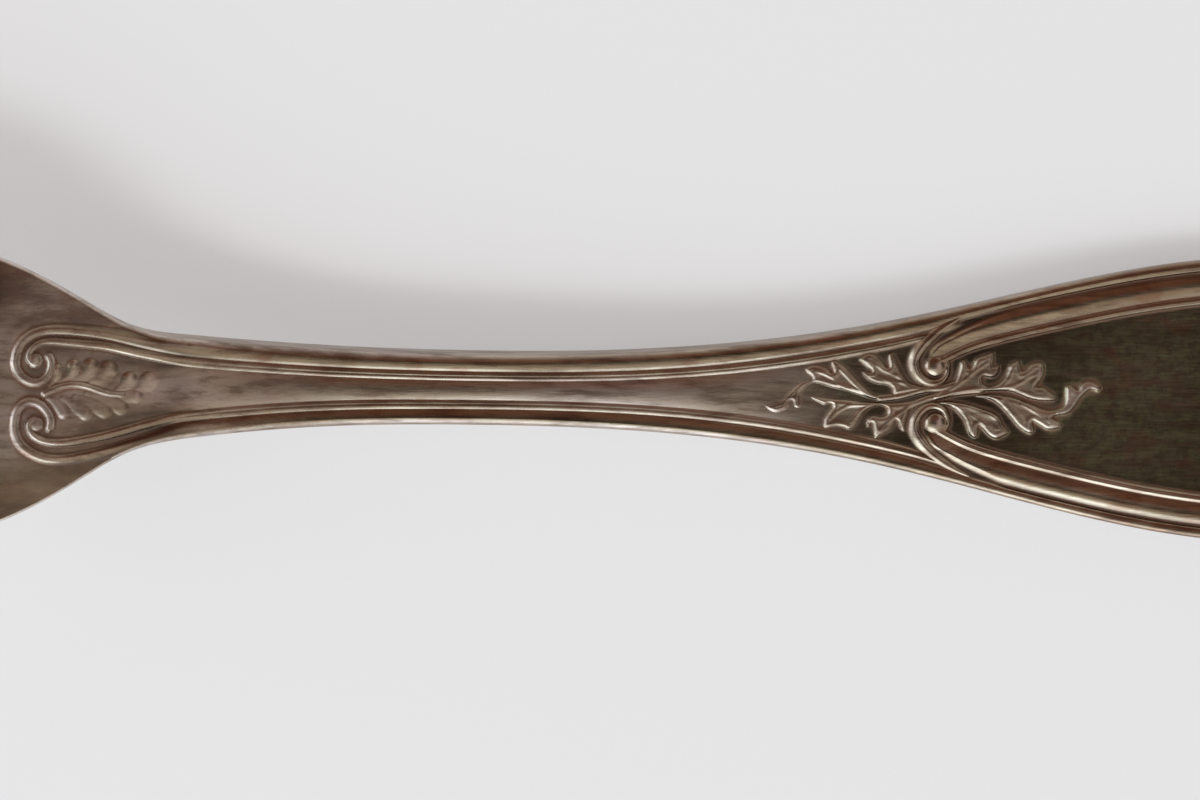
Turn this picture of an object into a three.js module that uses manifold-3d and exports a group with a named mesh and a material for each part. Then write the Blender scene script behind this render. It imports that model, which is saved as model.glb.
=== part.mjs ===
// A table fork in silver-plated metal, with a reeded border, volutes and leaf sprays on its back.
// The real fork is one struck piece. Its zones are separate solids here, and meet face to face:
// four tines, the root that carries them, the shank and the handle.
// It lies face down, back up: tines towards -X, handle towards +X, back towards +Z.
// Lengths are millimetres. A station is a distance along X from the tine tips.

import * as THREE from "three";
import { mergeVertices } from "three/addons/utils/BufferGeometryUtils.js";
import Module from "manifold-3d";

// Lengths of the zones, one after another from the tips
const tineLength = 50;
const rootLength = 26;
const shankLength = 45;
const handleLength = 69;

// Places along the zones
const headWidestBeforeSlotEnds = 6;
const shoulderBeforeNeck = 16;
const cheekBeforeNeck = 9.3;
const throatBeforeNeck = 6;
const waistAfterNeck = 22;
const handleEndLength = 22;

// Full widths of the outline, from the tips to the handle
const tipSpan = 22;
const headWidth = 25.2;
const shoulderWidth = 21.9;
const cheekWidth = 14.8;
const throatWidth = 10.9;
const neckWidth = 8.1;
const upperShankWidth = 6.4;
const waistWidth = 5.9;
const lowerShankWidth = 6.3;
const handleStartWidth = 8.12;
const firstFlareWidth = 11.96;
const secondFlareWidth = 17.6;
const thirdFlareWidth = 22.6;
const handleWidth = 24.3;

// Heights of the middle of the metal, face down on a table
const tipHeight = 0.65;
const tineHeight = 8.2;
const slotEndHeight = 12;
const shoulderHeight = 11.2;
const neckHeight = 6.9;
const upperShankHeight = 4.9;
const waistHeight = 4.2;
const handleStartHeight = 3.1;
const handleMiddleHeight = 2.1;
const handleRestHeight = 1.25;
const handleEndHeight = 2.2;

// Thickness of the metal
const tipThickness = 1.3;
const headThickness = 2.8;
const neckThickness = 3.8;
const waistThickness = 4;
const handleStartThickness = 3.3;
const handleMiddleThickness = 2.8;
const handleThickness = 2.5;
const handleEndThickness = 2.2;

// Tines and slots
const tineCount = 4;
const slotWidth = 3.1;
const tineTipWidth = 2.1;
const tineTipRounding = 2.6;
const tineTipBluntness = 0.35;

// Roundness of the sections, from 0, a rectangle, to 1, an ellipse
const tineTipRoundness = 0.7;
const tineMiddleRoundness = 0.55;
const tineMiddleShare = 0.6;
const tineBaseRoundness = 0.3;
const rootRoundness = 0.35;

// Struck border: an outer reed and a thread on the shank, and a reed, a band and a thread on the handle
const reedWidth = 1.35;
const threadWidth = 0.75;
const bandWidth = 2.1;
const panelThreadWidth = 0.65;
const reedEdgeDrop = 0.75;
const bandCrestDrop = 0.03;
const panelThreadCrestDrop = 0.06;
const grooveDepth = 0.45;
const floorDepth = 0.35;
const floorCrown = 0.1;
const frontGrooveDepth = 0.25;
const frontFloorDepth = 0.15;
const borderShareOfHalf = 0.92;

// Where the border changes on the handle, before and after the ornament's centre
const bandWidensBefore = 6;
const bandWholeAfter = 2;
const panelThreadRisesBefore = 1;
const panelThreadWholeAfter = 3;

// Volutes on the root: the reed and the thread swing out before the neck, then turn round an eye
const voluteEyeBeforeNeck = 13.1;
const voluteEyeAcross = 2.6;
const voluteEyeRadius = 0.72;
const firstSwingBeforeNeck = 5.5;
const secondSwingBeforeNeck = 9.4;
const reedSwings = [0.65, 1.45];
const threadSwings = [0.45, 1.2];
const reedTurn = { toDegrees: 395, fromRadius: 2.45, toRadius: 1.2, steps: 7 };
const threadTurn = { toDegrees: 205, fromRadius: 1.35, toRadius: 0.7, steps: 2 };
const turnFromDegrees = 90;
const turnTightening = 0.6;

// Scrolls and leaf sprays on the handle
const ornamentAfterHandleStart = 15.6;
const scrollEyeRadius = 0.85;
const scrollEyeAfter = 0.4;
const scrollEyeAcross = 2.35;
const scrollLeavesBorderAfter = 4.2;
const scrollSwing = [[0.9, 2.9], [-1.1, 1.6], [-1.7, 0], [-1.1, -1.2], [0.3, -1.6]];
const ridgeWidth = 0.8;
const ridgeHeight = 0.4;
const leafWidth = 1.25;
const sprigLeafWidth = 1;
const leafHeight = 0.34;
const leafEndShare = 0.3;
const leafSkew = 1.3;

// Colours of the tarnished plate
const tineColour = 0xa39a90;
const rootColour = 0x958a7f;
const shankColour = 0x8c8074;
const handleColour = 0x83796c;
const plateRoughness = 0.32;

// Fineness of the facets
const ringSpacing = 2.6;
const tipRingShares = [0, 0.15, 0.45, 1];
const handleEndRings = 9;
const reedSteps = 4;
const threadSteps = 2;
const fewestRidgeSteps = 6;
const sectionSides = 24;
const tineSides = 12;
const ridgeSides = 6;
const eyeSides = 10;

// How many times a cutting solid outreaches what it cuts
const cutterReach = 4;

const wasm = await Module();
wasm.setup();

// Stations worked out from the lengths
const slotEndAt = tineLength;
const tineBaseAt = slotEndAt - slotWidth / 2;
const neckAt = slotEndAt + rootLength;
const waistAt = neckAt + waistAfterNeck;
const handleAt = neckAt + shankLength;
const endAt = handleAt + handleLength;
const widestAt = endAt - handleEndLength;
const ornamentAt = handleAt + ornamentAfterHandleStart;
const between = (from, to, share) => from + (to - from) * share;

// A smooth curve through [station, value] knots, level beyond its first and last knot
function curveThrough(knots) {
  const stations = Float64Array.from(knots, (knot) => knot[0]);
  const values = Float64Array.from(knots, (knot) => knot[1]);
  const interpolant = new THREE.CubicInterpolant(stations, values, 1, new Float64Array(1));
  return (station) => interpolant.evaluate(station)[0];
}

const flareAt = (share) => between(handleAt, widestAt, share);
const halfWidth = curveThrough([
  [0, tipSpan / 2],
  [slotEndAt - headWidestBeforeSlotEnds, headWidth / 2],
  [neckAt - shoulderBeforeNeck, shoulderWidth / 2],
  [neckAt - cheekBeforeNeck, cheekWidth / 2],
  [neckAt - throatBeforeNeck, throatWidth / 2],
  [neckAt, neckWidth / 2],
  [between(neckAt, waistAt, 0.5), upperShankWidth / 2],
  [waistAt, waistWidth / 2],
  [between(waistAt, handleAt, 0.5), lowerShankWidth / 2],
  [handleAt, handleStartWidth / 2],
  [flareAt(0.25), firstFlareWidth / 2],
  [flareAt(0.5), secondFlareWidth / 2],
  [flareAt(0.75), thirdFlareWidth / 2],
  [widestAt, handleWidth / 2],
  [flareAt(1.25), thirdFlareWidth / 2],
]);

const middleHeight = curveThrough([
  [0, tipHeight],
  [tineLength / 2, tineHeight],
  [slotEndAt, slotEndHeight],
  [neckAt - shoulderBeforeNeck, shoulderHeight],
  [neckAt, neckHeight],
  [between(neckAt, waistAt, 0.5), upperShankHeight],
  [waistAt, waistHeight],
  [handleAt, handleStartHeight],
  [flareAt(0.5), handleMiddleHeight],
  [widestAt, handleRestHeight],
  [endAt, handleEndHeight],
]);

const thickness = curveThrough([
  [0, tipThickness],
  [slotEndAt, headThickness],
  [neckAt, neckThickness],
  [waistAt, waistThickness],
  [handleAt, handleStartThickness],
  [flareAt(0.5), handleMiddleThickness],
  [widestAt, handleThickness],
  [endAt, handleEndThickness],
]);

const backHeight = (station, drop) => middleHeight(station) + thickness(station) / 2 - drop;
const frontHeight = (station, drop) => middleHeight(station) - thickness(station) / 2 + drop;

// Evenly spaced stations from one end of a zone to the other
function stationsBetween(from, to) {
  const steps = Math.max(2, Math.round((to - from) / ringSpacing));
  return Array.from({ length: steps + 1 }, (unused, step) => between(from, to, step / steps));
}

// A closed solid through rings of points, each listed anticlockwise as seen from the last ring's side
function loft(rings, capLast = true) {
  const sides = rings[0].length;
  const positions = new Float32Array(rings.flat(2));
  const triangles = [];
  for (let ring = 0; ring + 1 < rings.length; ring++) {
    for (let side = 0; side < sides; side++) {
      const next = (side + 1) % sides;
      const here = ring * sides;
      const ahead = here + sides;
      triangles.push([here + side, here + next, ahead + side], [here + next, ahead + next, ahead + side]);
    }
  }
  const capOf = (ring) =>
    THREE.ShapeUtils.triangulateShape(ring.map((point) => new THREE.Vector2(point[1], point[2])), []);
  triangles.push(...capOf(rings[0]).map(([a, b, c]) => [a, c, b]));
  if (capLast) {
    const start = (rings.length - 1) * sides;
    triangles.push(...capOf(rings.at(-1)).map((corners) => corners.map((corner) => start + corner)));
  }
  const geometry = new THREE.BufferGeometry();
  geometry.setAttribute("position", new THREE.BufferAttribute(positions, 3));
  geometry.setIndex(triangles.flat());
  return withoutEmptyTriangles(mergeVertices(geometry));
}

function withoutEmptyTriangles(geometry) {
  const corners = geometry.index.array;
  const kept = [];
  for (let first = 0; first < corners.length; first += 3) {
    const [a, b, c] = corners.slice(first, first + 3);
    if (a !== b && b !== c && c !== a) kept.push(a, b, c);
  }
  geometry.setIndex(kept);
  return geometry;
}

function solidOf(geometry) {
  const bare = new THREE.BufferGeometry();
  bare.setAttribute("position", geometry.getAttribute("position"));
  bare.setIndex(geometry.index);
  const merged = withoutEmptyTriangles(mergeVertices(bare));
  const vertProperties = new Float32Array(merged.attributes.position.array);
  const triVerts = new Uint32Array(merged.index.array);
  return new wasm.Manifold(new wasm.Mesh({ numProp: 3, vertProperties, triVerts }));
}

function geometryOf(solid) {
  const { vertProperties, triVerts } = solid.getMesh();
  const geometry = new THREE.BufferGeometry();
  geometry.setAttribute("position", new THREE.BufferAttribute(vertProperties, 3));
  geometry.setIndex(new THREE.BufferAttribute(triVerts, 1));
  return geometry;
}

// A rounded rectangle, from its middle up to the back and down to the front
function roundedSection(station, centre, half, above, below, roundness, sides) {
  const rounded = (value) => Math.sign(value) * Math.abs(value) ** roundness;
  return Array.from({ length: sides }, (unused, side) => {
    const angle = (2 * Math.PI * (side + 0.5)) / sides;
    const rise = rounded(Math.sin(angle));
    const height = middleHeight(station) + rise * (rise > 0 ? above : below);
    return [station, centre + half * rounded(Math.cos(angle)), height];
  });
}

// Tines: bars that taper to blunt tips, square where they leave the root and rounder towards the tips
const tineBaseWidth = (2 * halfWidth(tineBaseAt) - (tineCount - 1) * slotWidth) / tineCount;
const tineWidth = curveThrough([[0, tineTipWidth], [tineBaseAt, tineBaseWidth]]);
const tineRoundness = curveThrough([
  [0, tineTipRoundness],
  [between(0, tineBaseAt, tineMiddleShare), tineMiddleRoundness],
  [tineBaseAt, tineBaseRoundness],
]);

function tine(order) {
  const tipStations = tipRingShares.map((share) => share * tineTipRounding);
  const stations = [...tipStations, ...stationsBetween(tineTipRounding, tineBaseAt).slice(1)];
  const rings = stations.map((station) => {
    const reach = Math.min(1, station / tineTipRounding);
    const rounding = between(tineTipBluntness, 1, Math.sqrt(1 - (1 - reach) ** 2));
    const pitch = (2 * halfWidth(station) - tineWidth(station)) / (tineCount - 1);
    const centre = (order - (tineCount - 1) / 2) * pitch;
    const depth = (thickness(station) / 2) * rounding;
    const half = (tineWidth(station) / 2) * rounding;
    return roundedSection(station, centre, half, depth, depth, tineRoundness(station), tineSides);
  });
  return loft(rings);
}

// Root: a thin crowned plate that gathers the tines into the neck, with the round ends of the slots
const rootDrop = curveThrough([[neckAt - shoulderBeforeNeck, 0], [neckAt, floorDepth]]);
const rootBackDepth = (station) => thickness(station) / 2 - rootDrop(station);

function rootBack(station, across) {
  const share = Math.min(1, Math.abs(across) / halfWidth(station));
  const crown = (1 - share ** (2 / rootRoundness)) ** (rootRoundness / 2);
  return middleHeight(station) + rootBackDepth(station) * crown;
}

function rootPlate() {
  const rings = stationsBetween(tineBaseAt, neckAt).map((station) => {
    const above = rootBackDepth(station);
    const below = thickness(station) / 2;
    return roundedSection(station, 0, halfWidth(station), above, below, rootRoundness, sectionSides);
  });
  return solidOf(loft(rings));
}

function slotEnd(order) {
  const height = cutterReach * headThickness;
  const cutter = new THREE.CylinderGeometry(slotWidth / 2, slotWidth / 2, height, sectionSides);
  cutter.rotateX(Math.PI / 2);
  const pitch = tineBaseWidth + slotWidth;
  cutter.translate(tineBaseAt, (order - (tineCount - 2) / 2) * pitch, middleHeight(tineBaseAt));
  return solidOf(cutter);
}

// A raised ridge along a plan curve on the back, half sunk in the metal
function ridge(plan, surface, width, height, swell) {
  const curve = new THREE.SplineCurve(plan.map(([station, across]) => new THREE.Vector2(station, across)));
  const steps = Math.max(fewestRidgeSteps, Math.round(curve.getLength() / width));
  const rings = Array.from({ length: steps + 1 }, (unused, step) => {
    const share = step / steps;
    const point = curve.getPointAt(share);
    const along = curve.getTangentAt(share);
    const size = swell(share);
    return Array.from({ length: ridgeSides }, (unusedSide, side) => {
      const angle = (2 * Math.PI * side) / ridgeSides;
      const aside = (Math.cos(angle) * size * width) / 2;
      const rise = Math.sin(angle) * size * height;
      return [point.x - along.y * aside, point.y + along.x * aside, surface(point.x, point.y) + rise];
    });
  });
  return solidOf(loftAlong(rings));
}

// A loft whose ends are convex rings in any upright plane, closed by fans
function loftAlong(rings) {
  const sides = rings[0].length;
  const average = (ring, axis) => ring.reduce((sum, point) => sum + point[axis], 0) / sides;
  const middleOf = (ring) => [average(ring, 0), average(ring, 1), average(ring, 2)];
  const first = new Array(sides).fill(middleOf(rings[0]));
  const last = new Array(sides).fill(middleOf(rings.at(-1)));
  return loft([first, ...rings, last], false);
}

// A flattened ball, the eye of a volute or scroll
function eye(station, across, radius, surface) {
  const ball = new THREE.SphereGeometry(radius, eyeSides, eyeSides / 2);
  ball.rotateX(Math.PI / 2);
  ball.scale(1, 1, ridgeHeight / radius);
  ball.translate(station, across, surface(station, across));
  return solidOf(ball);
}

const evenSwell = () => 1;
const leafSwell = (share) => between(leafEndShare, 1, Math.sin(Math.PI * share ** leafSkew));
const mirrored = (plan, side) => plan.map(([station, across]) => [station, across * side]);

// Points that turn round a volute's eye and close in on it
function turnRound(eyeAt, { toDegrees, fromRadius, toRadius, steps }) {
  return Array.from({ length: steps + 1 }, (unused, step) => {
    const share = step / steps;
    const angle = THREE.MathUtils.degToRad(between(turnFromDegrees, toDegrees, share));
    const radius = between(fromRadius, toRadius, share ** turnTightening);
    return [eyeAt + radius * Math.cos(angle), voluteEyeAcross + radius * Math.sin(angle)];
  });
}

// Volute: the outer reed and the thread leave the shank's border and curl round an eye on the root
function volute(side) {
  const eyeAt = neckAt - voluteEyeBeforeNeck;
  const curl = (across, swings, turn) => [
    [neckAt + ridgeWidth, across],
    [neckAt - firstSwingBeforeNeck, across + swings[0]],
    [neckAt - secondSwingBeforeNeck, across + swings[1]],
    ...turnRound(eyeAt, turn),
  ];
  const reed = curl(halfWidth(neckAt) - reedWidth / 2, reedSwings, reedTurn);
  const thread = curl(halfWidth(neckAt) - reedWidth - threadWidth / 2, threadSwings, threadTurn);
  return [
    ridge(mirrored(reed, side), rootBack, ridgeWidth, ridgeHeight, evenSwell),
    ridge(mirrored(thread, side), rootBack, threadWidth, ridgeHeight, evenSwell),
    eye(eyeAt, voluteEyeAcross * side, voluteEyeRadius, rootBack),
  ];
}

// Sprig: a stem between the volutes with pairs of small leaves, measured from the eyes' station
function sprig() {
  const stemAt = neckAt - voluteEyeBeforeNeck;
  const leaves = [
    [[0.9, -0.1], [3.2, 0.5], [8, -0.5]],
    [[1.5, 0.4], [2.6, 1.75]],
    [[2.6, 0.6], [3.8, 2]],
    [[3.8, 0.7], [5.2, 2.1]],
    [[5.1, 0.4], [6.7, 1.9]],
    [[6.6, 0.1], [8.2, 1.2]],
    [[1.3, -0.4], [2.6, -1.7]],
    [[2.9, -0.2], [4.3, -1.7]],
    [[4.2, -0.3], [5.9, -1.65]],
    [[5.6, -0.5], [7.4, -1.3]],
  ];
  return leaves.map((leaf) => {
    const plan = leaf.map(([along, across]) => [stemAt + along, across]);
    return ridge(plan, rootBack, sprigLeafWidth, leafHeight, leafSwell);
  });
}

function root() {
  let solid = rootPlate();
  for (let order = 0; order < tineCount - 1; order++) solid = solid.subtract(slotEnd(order));
  for (const raised of [...volute(1), ...volute(-1), ...sprig()]) solid = solid.add(raised);
  return geometryOf(solid.intersect(zoneBetween(tineBaseAt, neckAt)));
}

// The space between two stations, taller and wider than the fork
function zoneBetween(from, to) {
  const room = cutterReach * headWidth;
  const box = new THREE.BoxGeometry(to - from, room, room);
  box.translate(between(from, to, 0.5), 0, 0);
  return solidOf(box);
}

// Border lines on one half of the back: [distance in from the edge, drop below the crests]
const bandAt = curveThrough([
  [ornamentAt - bandWidensBefore, threadWidth],
  [ornamentAt + bandWholeAfter, bandWidth],
]);
const panelThreadCrest = curveThrough([
  [ornamentAt - panelThreadRisesBefore, floorDepth],
  [ornamentAt + panelThreadWholeAfter, panelThreadCrestDrop],
]);

// A rounded moulding between two valleys, without its last point
function moulding(from, width, firstDrop, lastDrop, crestDrop, steps) {
  return Array.from({ length: steps }, (unused, step) => {
    const share = step / steps;
    const valley = between(firstDrop, lastDrop, share);
    return [from + width * share, between(valley, crestDrop, Math.sin(Math.PI * share))];
  });
}

function backLines(station) {
  const band = bandAt(station);
  const bandEnd = reedWidth + band;
  return [
    ...moulding(0, reedWidth, reedEdgeDrop, grooveDepth, 0, reedSteps),
    ...moulding(reedWidth, band, grooveDepth, grooveDepth, bandCrestDrop, reedSteps),
    ...moulding(bandEnd, panelThreadWidth, grooveDepth, floorDepth, panelThreadCrest(station), threadSteps),
    [bandEnd + panelThreadWidth, floorDepth],
  ];
}

const frontLines = [
  [0, reedEdgeDrop],
  [reedWidth / 2, 0],
  [reedWidth, frontGrooveDepth],
  [reedWidth + threadWidth, frontFloorDepth],
];

// A reeded section: lines run in from the edge on both halves, and meet at the middle of the section
function reededSection(edge, inward, backDrops, fit) {
  const place = (distance) => [edge.x + inward.x * distance * fit, edge.y + inward.y * distance * fit];
  const onBack = ([distance, drop]) => {
    const [station, across] = place(distance);
    return [station, across, backHeight(station, drop)];
  };
  const onFront = ([distance, drop]) => {
    const [station, across] = place(distance);
    return [station, across, frontHeight(station, drop)];
  };
  const otherSide = ([station, across, height]) => [station, -across, height];
  const back = backDrops.map(onBack);
  const front = frontLines.map(onFront);
  const backMiddle = [back.at(-1)[0], 0, backHeight(back.at(-1)[0], floorDepth - floorCrown)];
  const frontMiddle = [front.at(-1)[0], 0, frontHeight(front.at(-1)[0], frontFloorDepth)];
  return [
    ...back,
    backMiddle,
    ...back.map(otherSide).reverse(),
    ...front.map(otherSide),
    frontMiddle,
    ...front.toReversed(),
  ];
}

const straightInward = new THREE.Vector2(0, -1);

// A section across the fork, with the border drawn in where the fork is too narrow for it
function sideSection(station) {
  const half = halfWidth(station);
  const lines = backLines(station);
  const fit = Math.min(1, (borderShareOfHalf * half) / lines.at(-1)[0]);
  return reededSection(new THREE.Vector2(station, half), straightInward, lines, fit);
}

function shank() {
  return loft(stationsBetween(neckAt, handleAt).map(sideSection));
}

// The handle's end is half an ellipse, and the border follows it round
function endSection(angle) {
  const half = handleWidth / 2;
  const edge = new THREE.Vector2(widestAt + handleEndLength * Math.cos(angle), half * Math.sin(angle));
  const inward = new THREE.Vector2(-Math.cos(angle) / handleEndLength, -Math.sin(angle) / half).normalize();
  return reededSection(edge, inward, backLines(edge.x), 1);
}

function handlePlate() {
  const sides = stationsBetween(handleAt, widestAt).map(sideSection);
  const ends = Array.from({ length: handleEndRings }, (unused, ring) =>
    endSection((Math.PI / 2) * (1 - (ring + 1) / handleEndRings)),
  );
  return solidOf(loft([...sides, ...ends], false));
}

const panelFloor = (station) => backHeight(station, floorDepth);

// Scrolls: a ridge leaves the border, turns back round an eye, and so starts the band of the panel
function scroll(side) {
  const borderAt = ornamentAt + scrollLeavesBorderAfter;
  const plan = [
    [borderAt, halfWidth(borderAt) - reedWidth],
    ...scrollSwing.map(([after, out]) => [ornamentAt + after, scrollEyeAcross + out]),
  ];
  return [
    ridge(mirrored(plan, side), panelFloor, ridgeWidth, ridgeHeight, evenSwell),
    eye(ornamentAt + scrollEyeAfter, scrollEyeAcross * side, scrollEyeRadius, panelFloor),
  ];
}

// Sprays: leaves that fan out from the crossing of the stems, measured from the ornament's centre
function sprays() {
  const leaves = [
    [[-13.6, -1], [-11.6, -0.4], [-9.6, 0.8], [-6.6, 0.1], [0, 0.1]],
    [[-5.6, -0.1], [-8.4, 1.7], [-10.3, 2.1]],
    [[-3.8, -0.2], [-6.4, 1.6], [-8.2, 2.8]],
    [[-1.8, 0.8], [-4.2, 2.3], [-5.8, 3.2]],
    [[-2, 1.4], [-3.4, 3.6]],
    [[-1.5, 0.8], [-3.9, 1.3], [-5.5, 1.9]],
    [[-6, -0.6], [-7.9, -1.5], [-8.7, -2.7]],
    [[-4.6, -0.8], [-6.2, -1.8], [-6.9, -2.9]],
    [[-1.6, -0.9], [-3.4, -2.3], [-4.6, -3.5]],
    [[0, 0.1], [5, 0.4], [9.6, -0.8], [11.6, 0], [14, 0.8]],
    [[1.4, 0.6], [2.8, 3]],
    [[2, 0.9], [3.8, 2.3], [5.2, 3.3]],
    [[5, 0.7], [6.3, 1.8], [7.3, 2.8]],
    [[5.8, 0.5], [8, 1.4], [9.4, 2.5]],
    [[1.6, -0.8], [2.8, -2.1], [3.6, -3.5]],
    [[1.7, -0.6], [4.3, -2], [6.1, -3.4]],
    [[4.6, -0.2], [6.8, -1.6], [8.4, -3.2]],
    [[7, -0.5], [9, -1.7], [10.8, -2.7]],
  ];
  return leaves.map((leaf) => {
    const plan = leaf.map(([along, across]) => [ornamentAt + along, across]);
    return ridge(plan, panelFloor, leafWidth, leafHeight, leafSwell);
  });
}

function handle() {
  let solid = handlePlate();
  for (const raised of [...scroll(1), ...scroll(-1), ...sprays()]) solid = solid.add(raised);
  return geometryOf(solid.intersect(zoneBetween(handleAt, endAt)));
}

// Tarnished silver plate, a little brighter on the tines and darker on the handle's panel
const fork = new THREE.Group();
function addPiece(name, geometry, colour) {
  const material = new THREE.MeshStandardMaterial({ color: colour, roughness: plateRoughness, metalness: 1 });
  const mesh = new THREE.Mesh(geometry, material);
  mesh.name = name;
  fork.add(mesh);
}

for (let order = 0; order < tineCount; order++) addPiece(`tine_${order + 1}`, tine(order), tineColour);
addPiece("root", root(), rootColour);
addPiece("shank", shank(), shankColour);
addPiece("handle", handle(), handleColour);

// The origin is under the middle of the fork, on the surface that it lies on
const box = new THREE.Box3().setFromObject(fork, true);
const middle = box.getCenter(new THREE.Vector3());
for (const mesh of fork.children) mesh.geometry.translate(-middle.x, -middle.y, -box.min.z);

export default fork;
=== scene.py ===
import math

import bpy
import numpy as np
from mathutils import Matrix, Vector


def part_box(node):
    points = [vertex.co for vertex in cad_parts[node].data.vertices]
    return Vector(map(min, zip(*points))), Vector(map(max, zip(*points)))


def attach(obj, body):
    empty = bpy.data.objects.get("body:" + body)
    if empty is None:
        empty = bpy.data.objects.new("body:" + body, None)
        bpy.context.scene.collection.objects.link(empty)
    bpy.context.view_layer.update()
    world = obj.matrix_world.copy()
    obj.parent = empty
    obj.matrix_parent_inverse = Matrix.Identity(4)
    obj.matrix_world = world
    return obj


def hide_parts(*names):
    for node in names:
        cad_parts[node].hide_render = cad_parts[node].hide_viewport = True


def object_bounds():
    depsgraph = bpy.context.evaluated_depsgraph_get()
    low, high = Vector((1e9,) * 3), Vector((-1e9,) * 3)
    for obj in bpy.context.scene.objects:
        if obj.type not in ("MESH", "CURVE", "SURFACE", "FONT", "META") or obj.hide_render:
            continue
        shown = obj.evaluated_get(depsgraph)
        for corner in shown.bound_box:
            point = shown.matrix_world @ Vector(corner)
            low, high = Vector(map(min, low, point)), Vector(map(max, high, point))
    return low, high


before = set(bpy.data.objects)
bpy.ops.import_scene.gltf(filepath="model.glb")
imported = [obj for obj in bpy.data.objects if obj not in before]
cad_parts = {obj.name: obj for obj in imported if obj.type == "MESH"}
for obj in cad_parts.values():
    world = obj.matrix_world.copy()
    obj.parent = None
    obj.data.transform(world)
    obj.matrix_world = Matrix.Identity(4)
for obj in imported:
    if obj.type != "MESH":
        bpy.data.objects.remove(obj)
cad_low, cad_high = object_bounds()

# A table fork in tarnished silver plate, lying face down on a pale floor and seen from above its back.
# Shapes are worked out in millimetres and become metres when a mesh is made.
# A station is a distance along X from the tine tips, and across is a distance along Y from the fork's axis.

MM = 0.001
TINY = 1e-12
UPWARD = np.array([0, 0, 1.0])
SIDEWAYS = np.array([0, 1.0, 0])
OTHER_SIDE = np.array([1, -1, 1.0])


def station_of(x):
    return (x - cad_low.x) / MM


# Zones of the fork, as stations
TINE_BASE = station_of(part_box("root")[0].x)
NECK = station_of(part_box("shank")[0].x)
HANDLE_START = station_of(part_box("handle")[0].x)
END = station_of(cad_high.x)
END_LENGTH = 22.0
WIDEST = END - END_LENGTH
ROOT_START = 60
ORNAMENT_END = 152

# Tines and slots
TINE_COUNT = 4
SLOT_WIDTH = 3.1
SLOT_FILLET = 0.4
SLOT_REACH = SLOT_WIDTH / 2 + SLOT_FILLET
SLOT_ZONE_END = TINE_BASE + 3.05
TINE_TIP_WIDTH = 2.1
TIP_ROUNDING = 2.6
TIP_BLUNTNESS = 0.2

# The photograph's frame and a camera placed to match it
PHOTO_WIDTH = 1200
PHOTO_HEIGHT = 800
PIXELS_PER_MM = 12.0
SENSOR_WIDTH = 36
CAMERA_DISTANCE = 350.0
CAMERA_NEAREST = 0.01
CAMERA_TILT = math.radians(8.0)
CAMERA_ROLL = math.radians(1.2)
AIM = np.array([109.1, -0.87, 4.0])

# Fineness: segments across the back, front and edges, then rows and their spacing along the fork
TINE_SEGMENTS = 47
FRONT_TINE_SEGMENTS = 5
SLOT_SEGMENTS = 12
EDGE_FILLET_SEGMENTS = 4
EDGE_WALL_SEGMENTS = 2
BORDER_SEGMENTS = 62
FRONT_BORDER_SEGMENTS = 14
TIP_ROWS = 12
TINE_ROWS = 60
SLOT_ROWS = 8
END_ROWS = 34
ROW_ZONES = (
    (SLOT_ZONE_END, ROOT_START, 0.5), (ROOT_START, NECK, 0.1), (NECK, HANDLE_START, 0.35),
    (HANDLE_START, ORNAMENT_END, 0.125), (ORNAMENT_END, WIDEST, 0.6),
)
PATH_STEPS = 24
BEND_STEPS = 28
OUTLINE_STEPS = 4


# Curves

def curve_through(*knots):
    """A smooth curve through (place, value) knots, level beyond the first and last knot."""
    places = np.array([knot[0] for knot in knots], float)
    values = np.array([knot[1] for knot in knots], float)
    gaps = np.diff(places)
    slopes = np.diff(values) / gaps
    count = len(places)
    system = np.eye(count)
    right = np.zeros(count)
    for i in range(1, count - 1):
        system[i, i - 1:i + 2] = gaps[i - 1], 2 * (gaps[i - 1] + gaps[i]), gaps[i]
        right[i] = 6 * (slopes[i] - slopes[i - 1])
    bends = np.linalg.solve(system, right)

    def value_at(place):
        place = np.clip(np.asarray(place, float), places[0], places[-1])
        i = np.clip(np.searchsorted(places, place) - 1, 0, count - 2)
        ahead = (places[i + 1] - place) / gaps[i]
        behind = (place - places[i]) / gaps[i]
        bow = bends[i] * (ahead ** 3 - ahead) + bends[i + 1] * (behind ** 3 - behind)
        return values[i] * ahead + values[i + 1] * behind + bow * gaps[i] ** 2 / 6

    return value_at


def between(first, last, share):
    return first + (last - first) * share


def constant(value):
    return lambda share: value + 0 * share


def fading(first, last):
    return lambda share: between(first, last, share)


def ease(start, end, value):
    share = np.clip((value - start) / (end - start), 0, 1)
    return share * share * (3 - 2 * share)


def rounded(share):
    return np.clip(1 - share ** 2, 0, 1)


def unit(vectors):
    return vectors / np.maximum(np.linalg.norm(vectors, axis=-1, keepdims=True), TINY)


half_width = curve_through(
    (0, 11), (44, 12.6), (60, 10.95), (66.7, 7.4), (70, 5.45), (NECK, 4.05), (87, 3.2), (98, 2.95),
    (109.5, 3.15), (HANDLE_START, 4.06), (132.75, 5.98), (144.5, 8.8), (156.25, 11.3), (WIDEST, 12.15),
    (179.75, 11.3),
)
middle_height = curve_through(
    (0, 0.65), (25, 8.2), (50, 12), (60, 11.2), (NECK, 6.9), (87, 4.9), (98, 4.2), (HANDLE_START, 3.1),
    (144.5, 2.1), (WIDEST, 1.25), (END, 2.2),
)
thickness = curve_through(
    (0, 1.3), (50, 2.8), (NECK, 3.8), (98, 4), (HANDLE_START, 3.3), (144.5, 2.8), (WIDEST, 2.5), (END, 2.2),
)
edge_radius = curve_through(
    (TINE_BASE, SLOT_FILLET), (60, 0.3), (70, 0.34), (NECK, 0.52), (87, 0.62), (98, 0.62), (130, 0.5),
    (WIDEST, 0.4), (END, 0.4),
)
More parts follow.
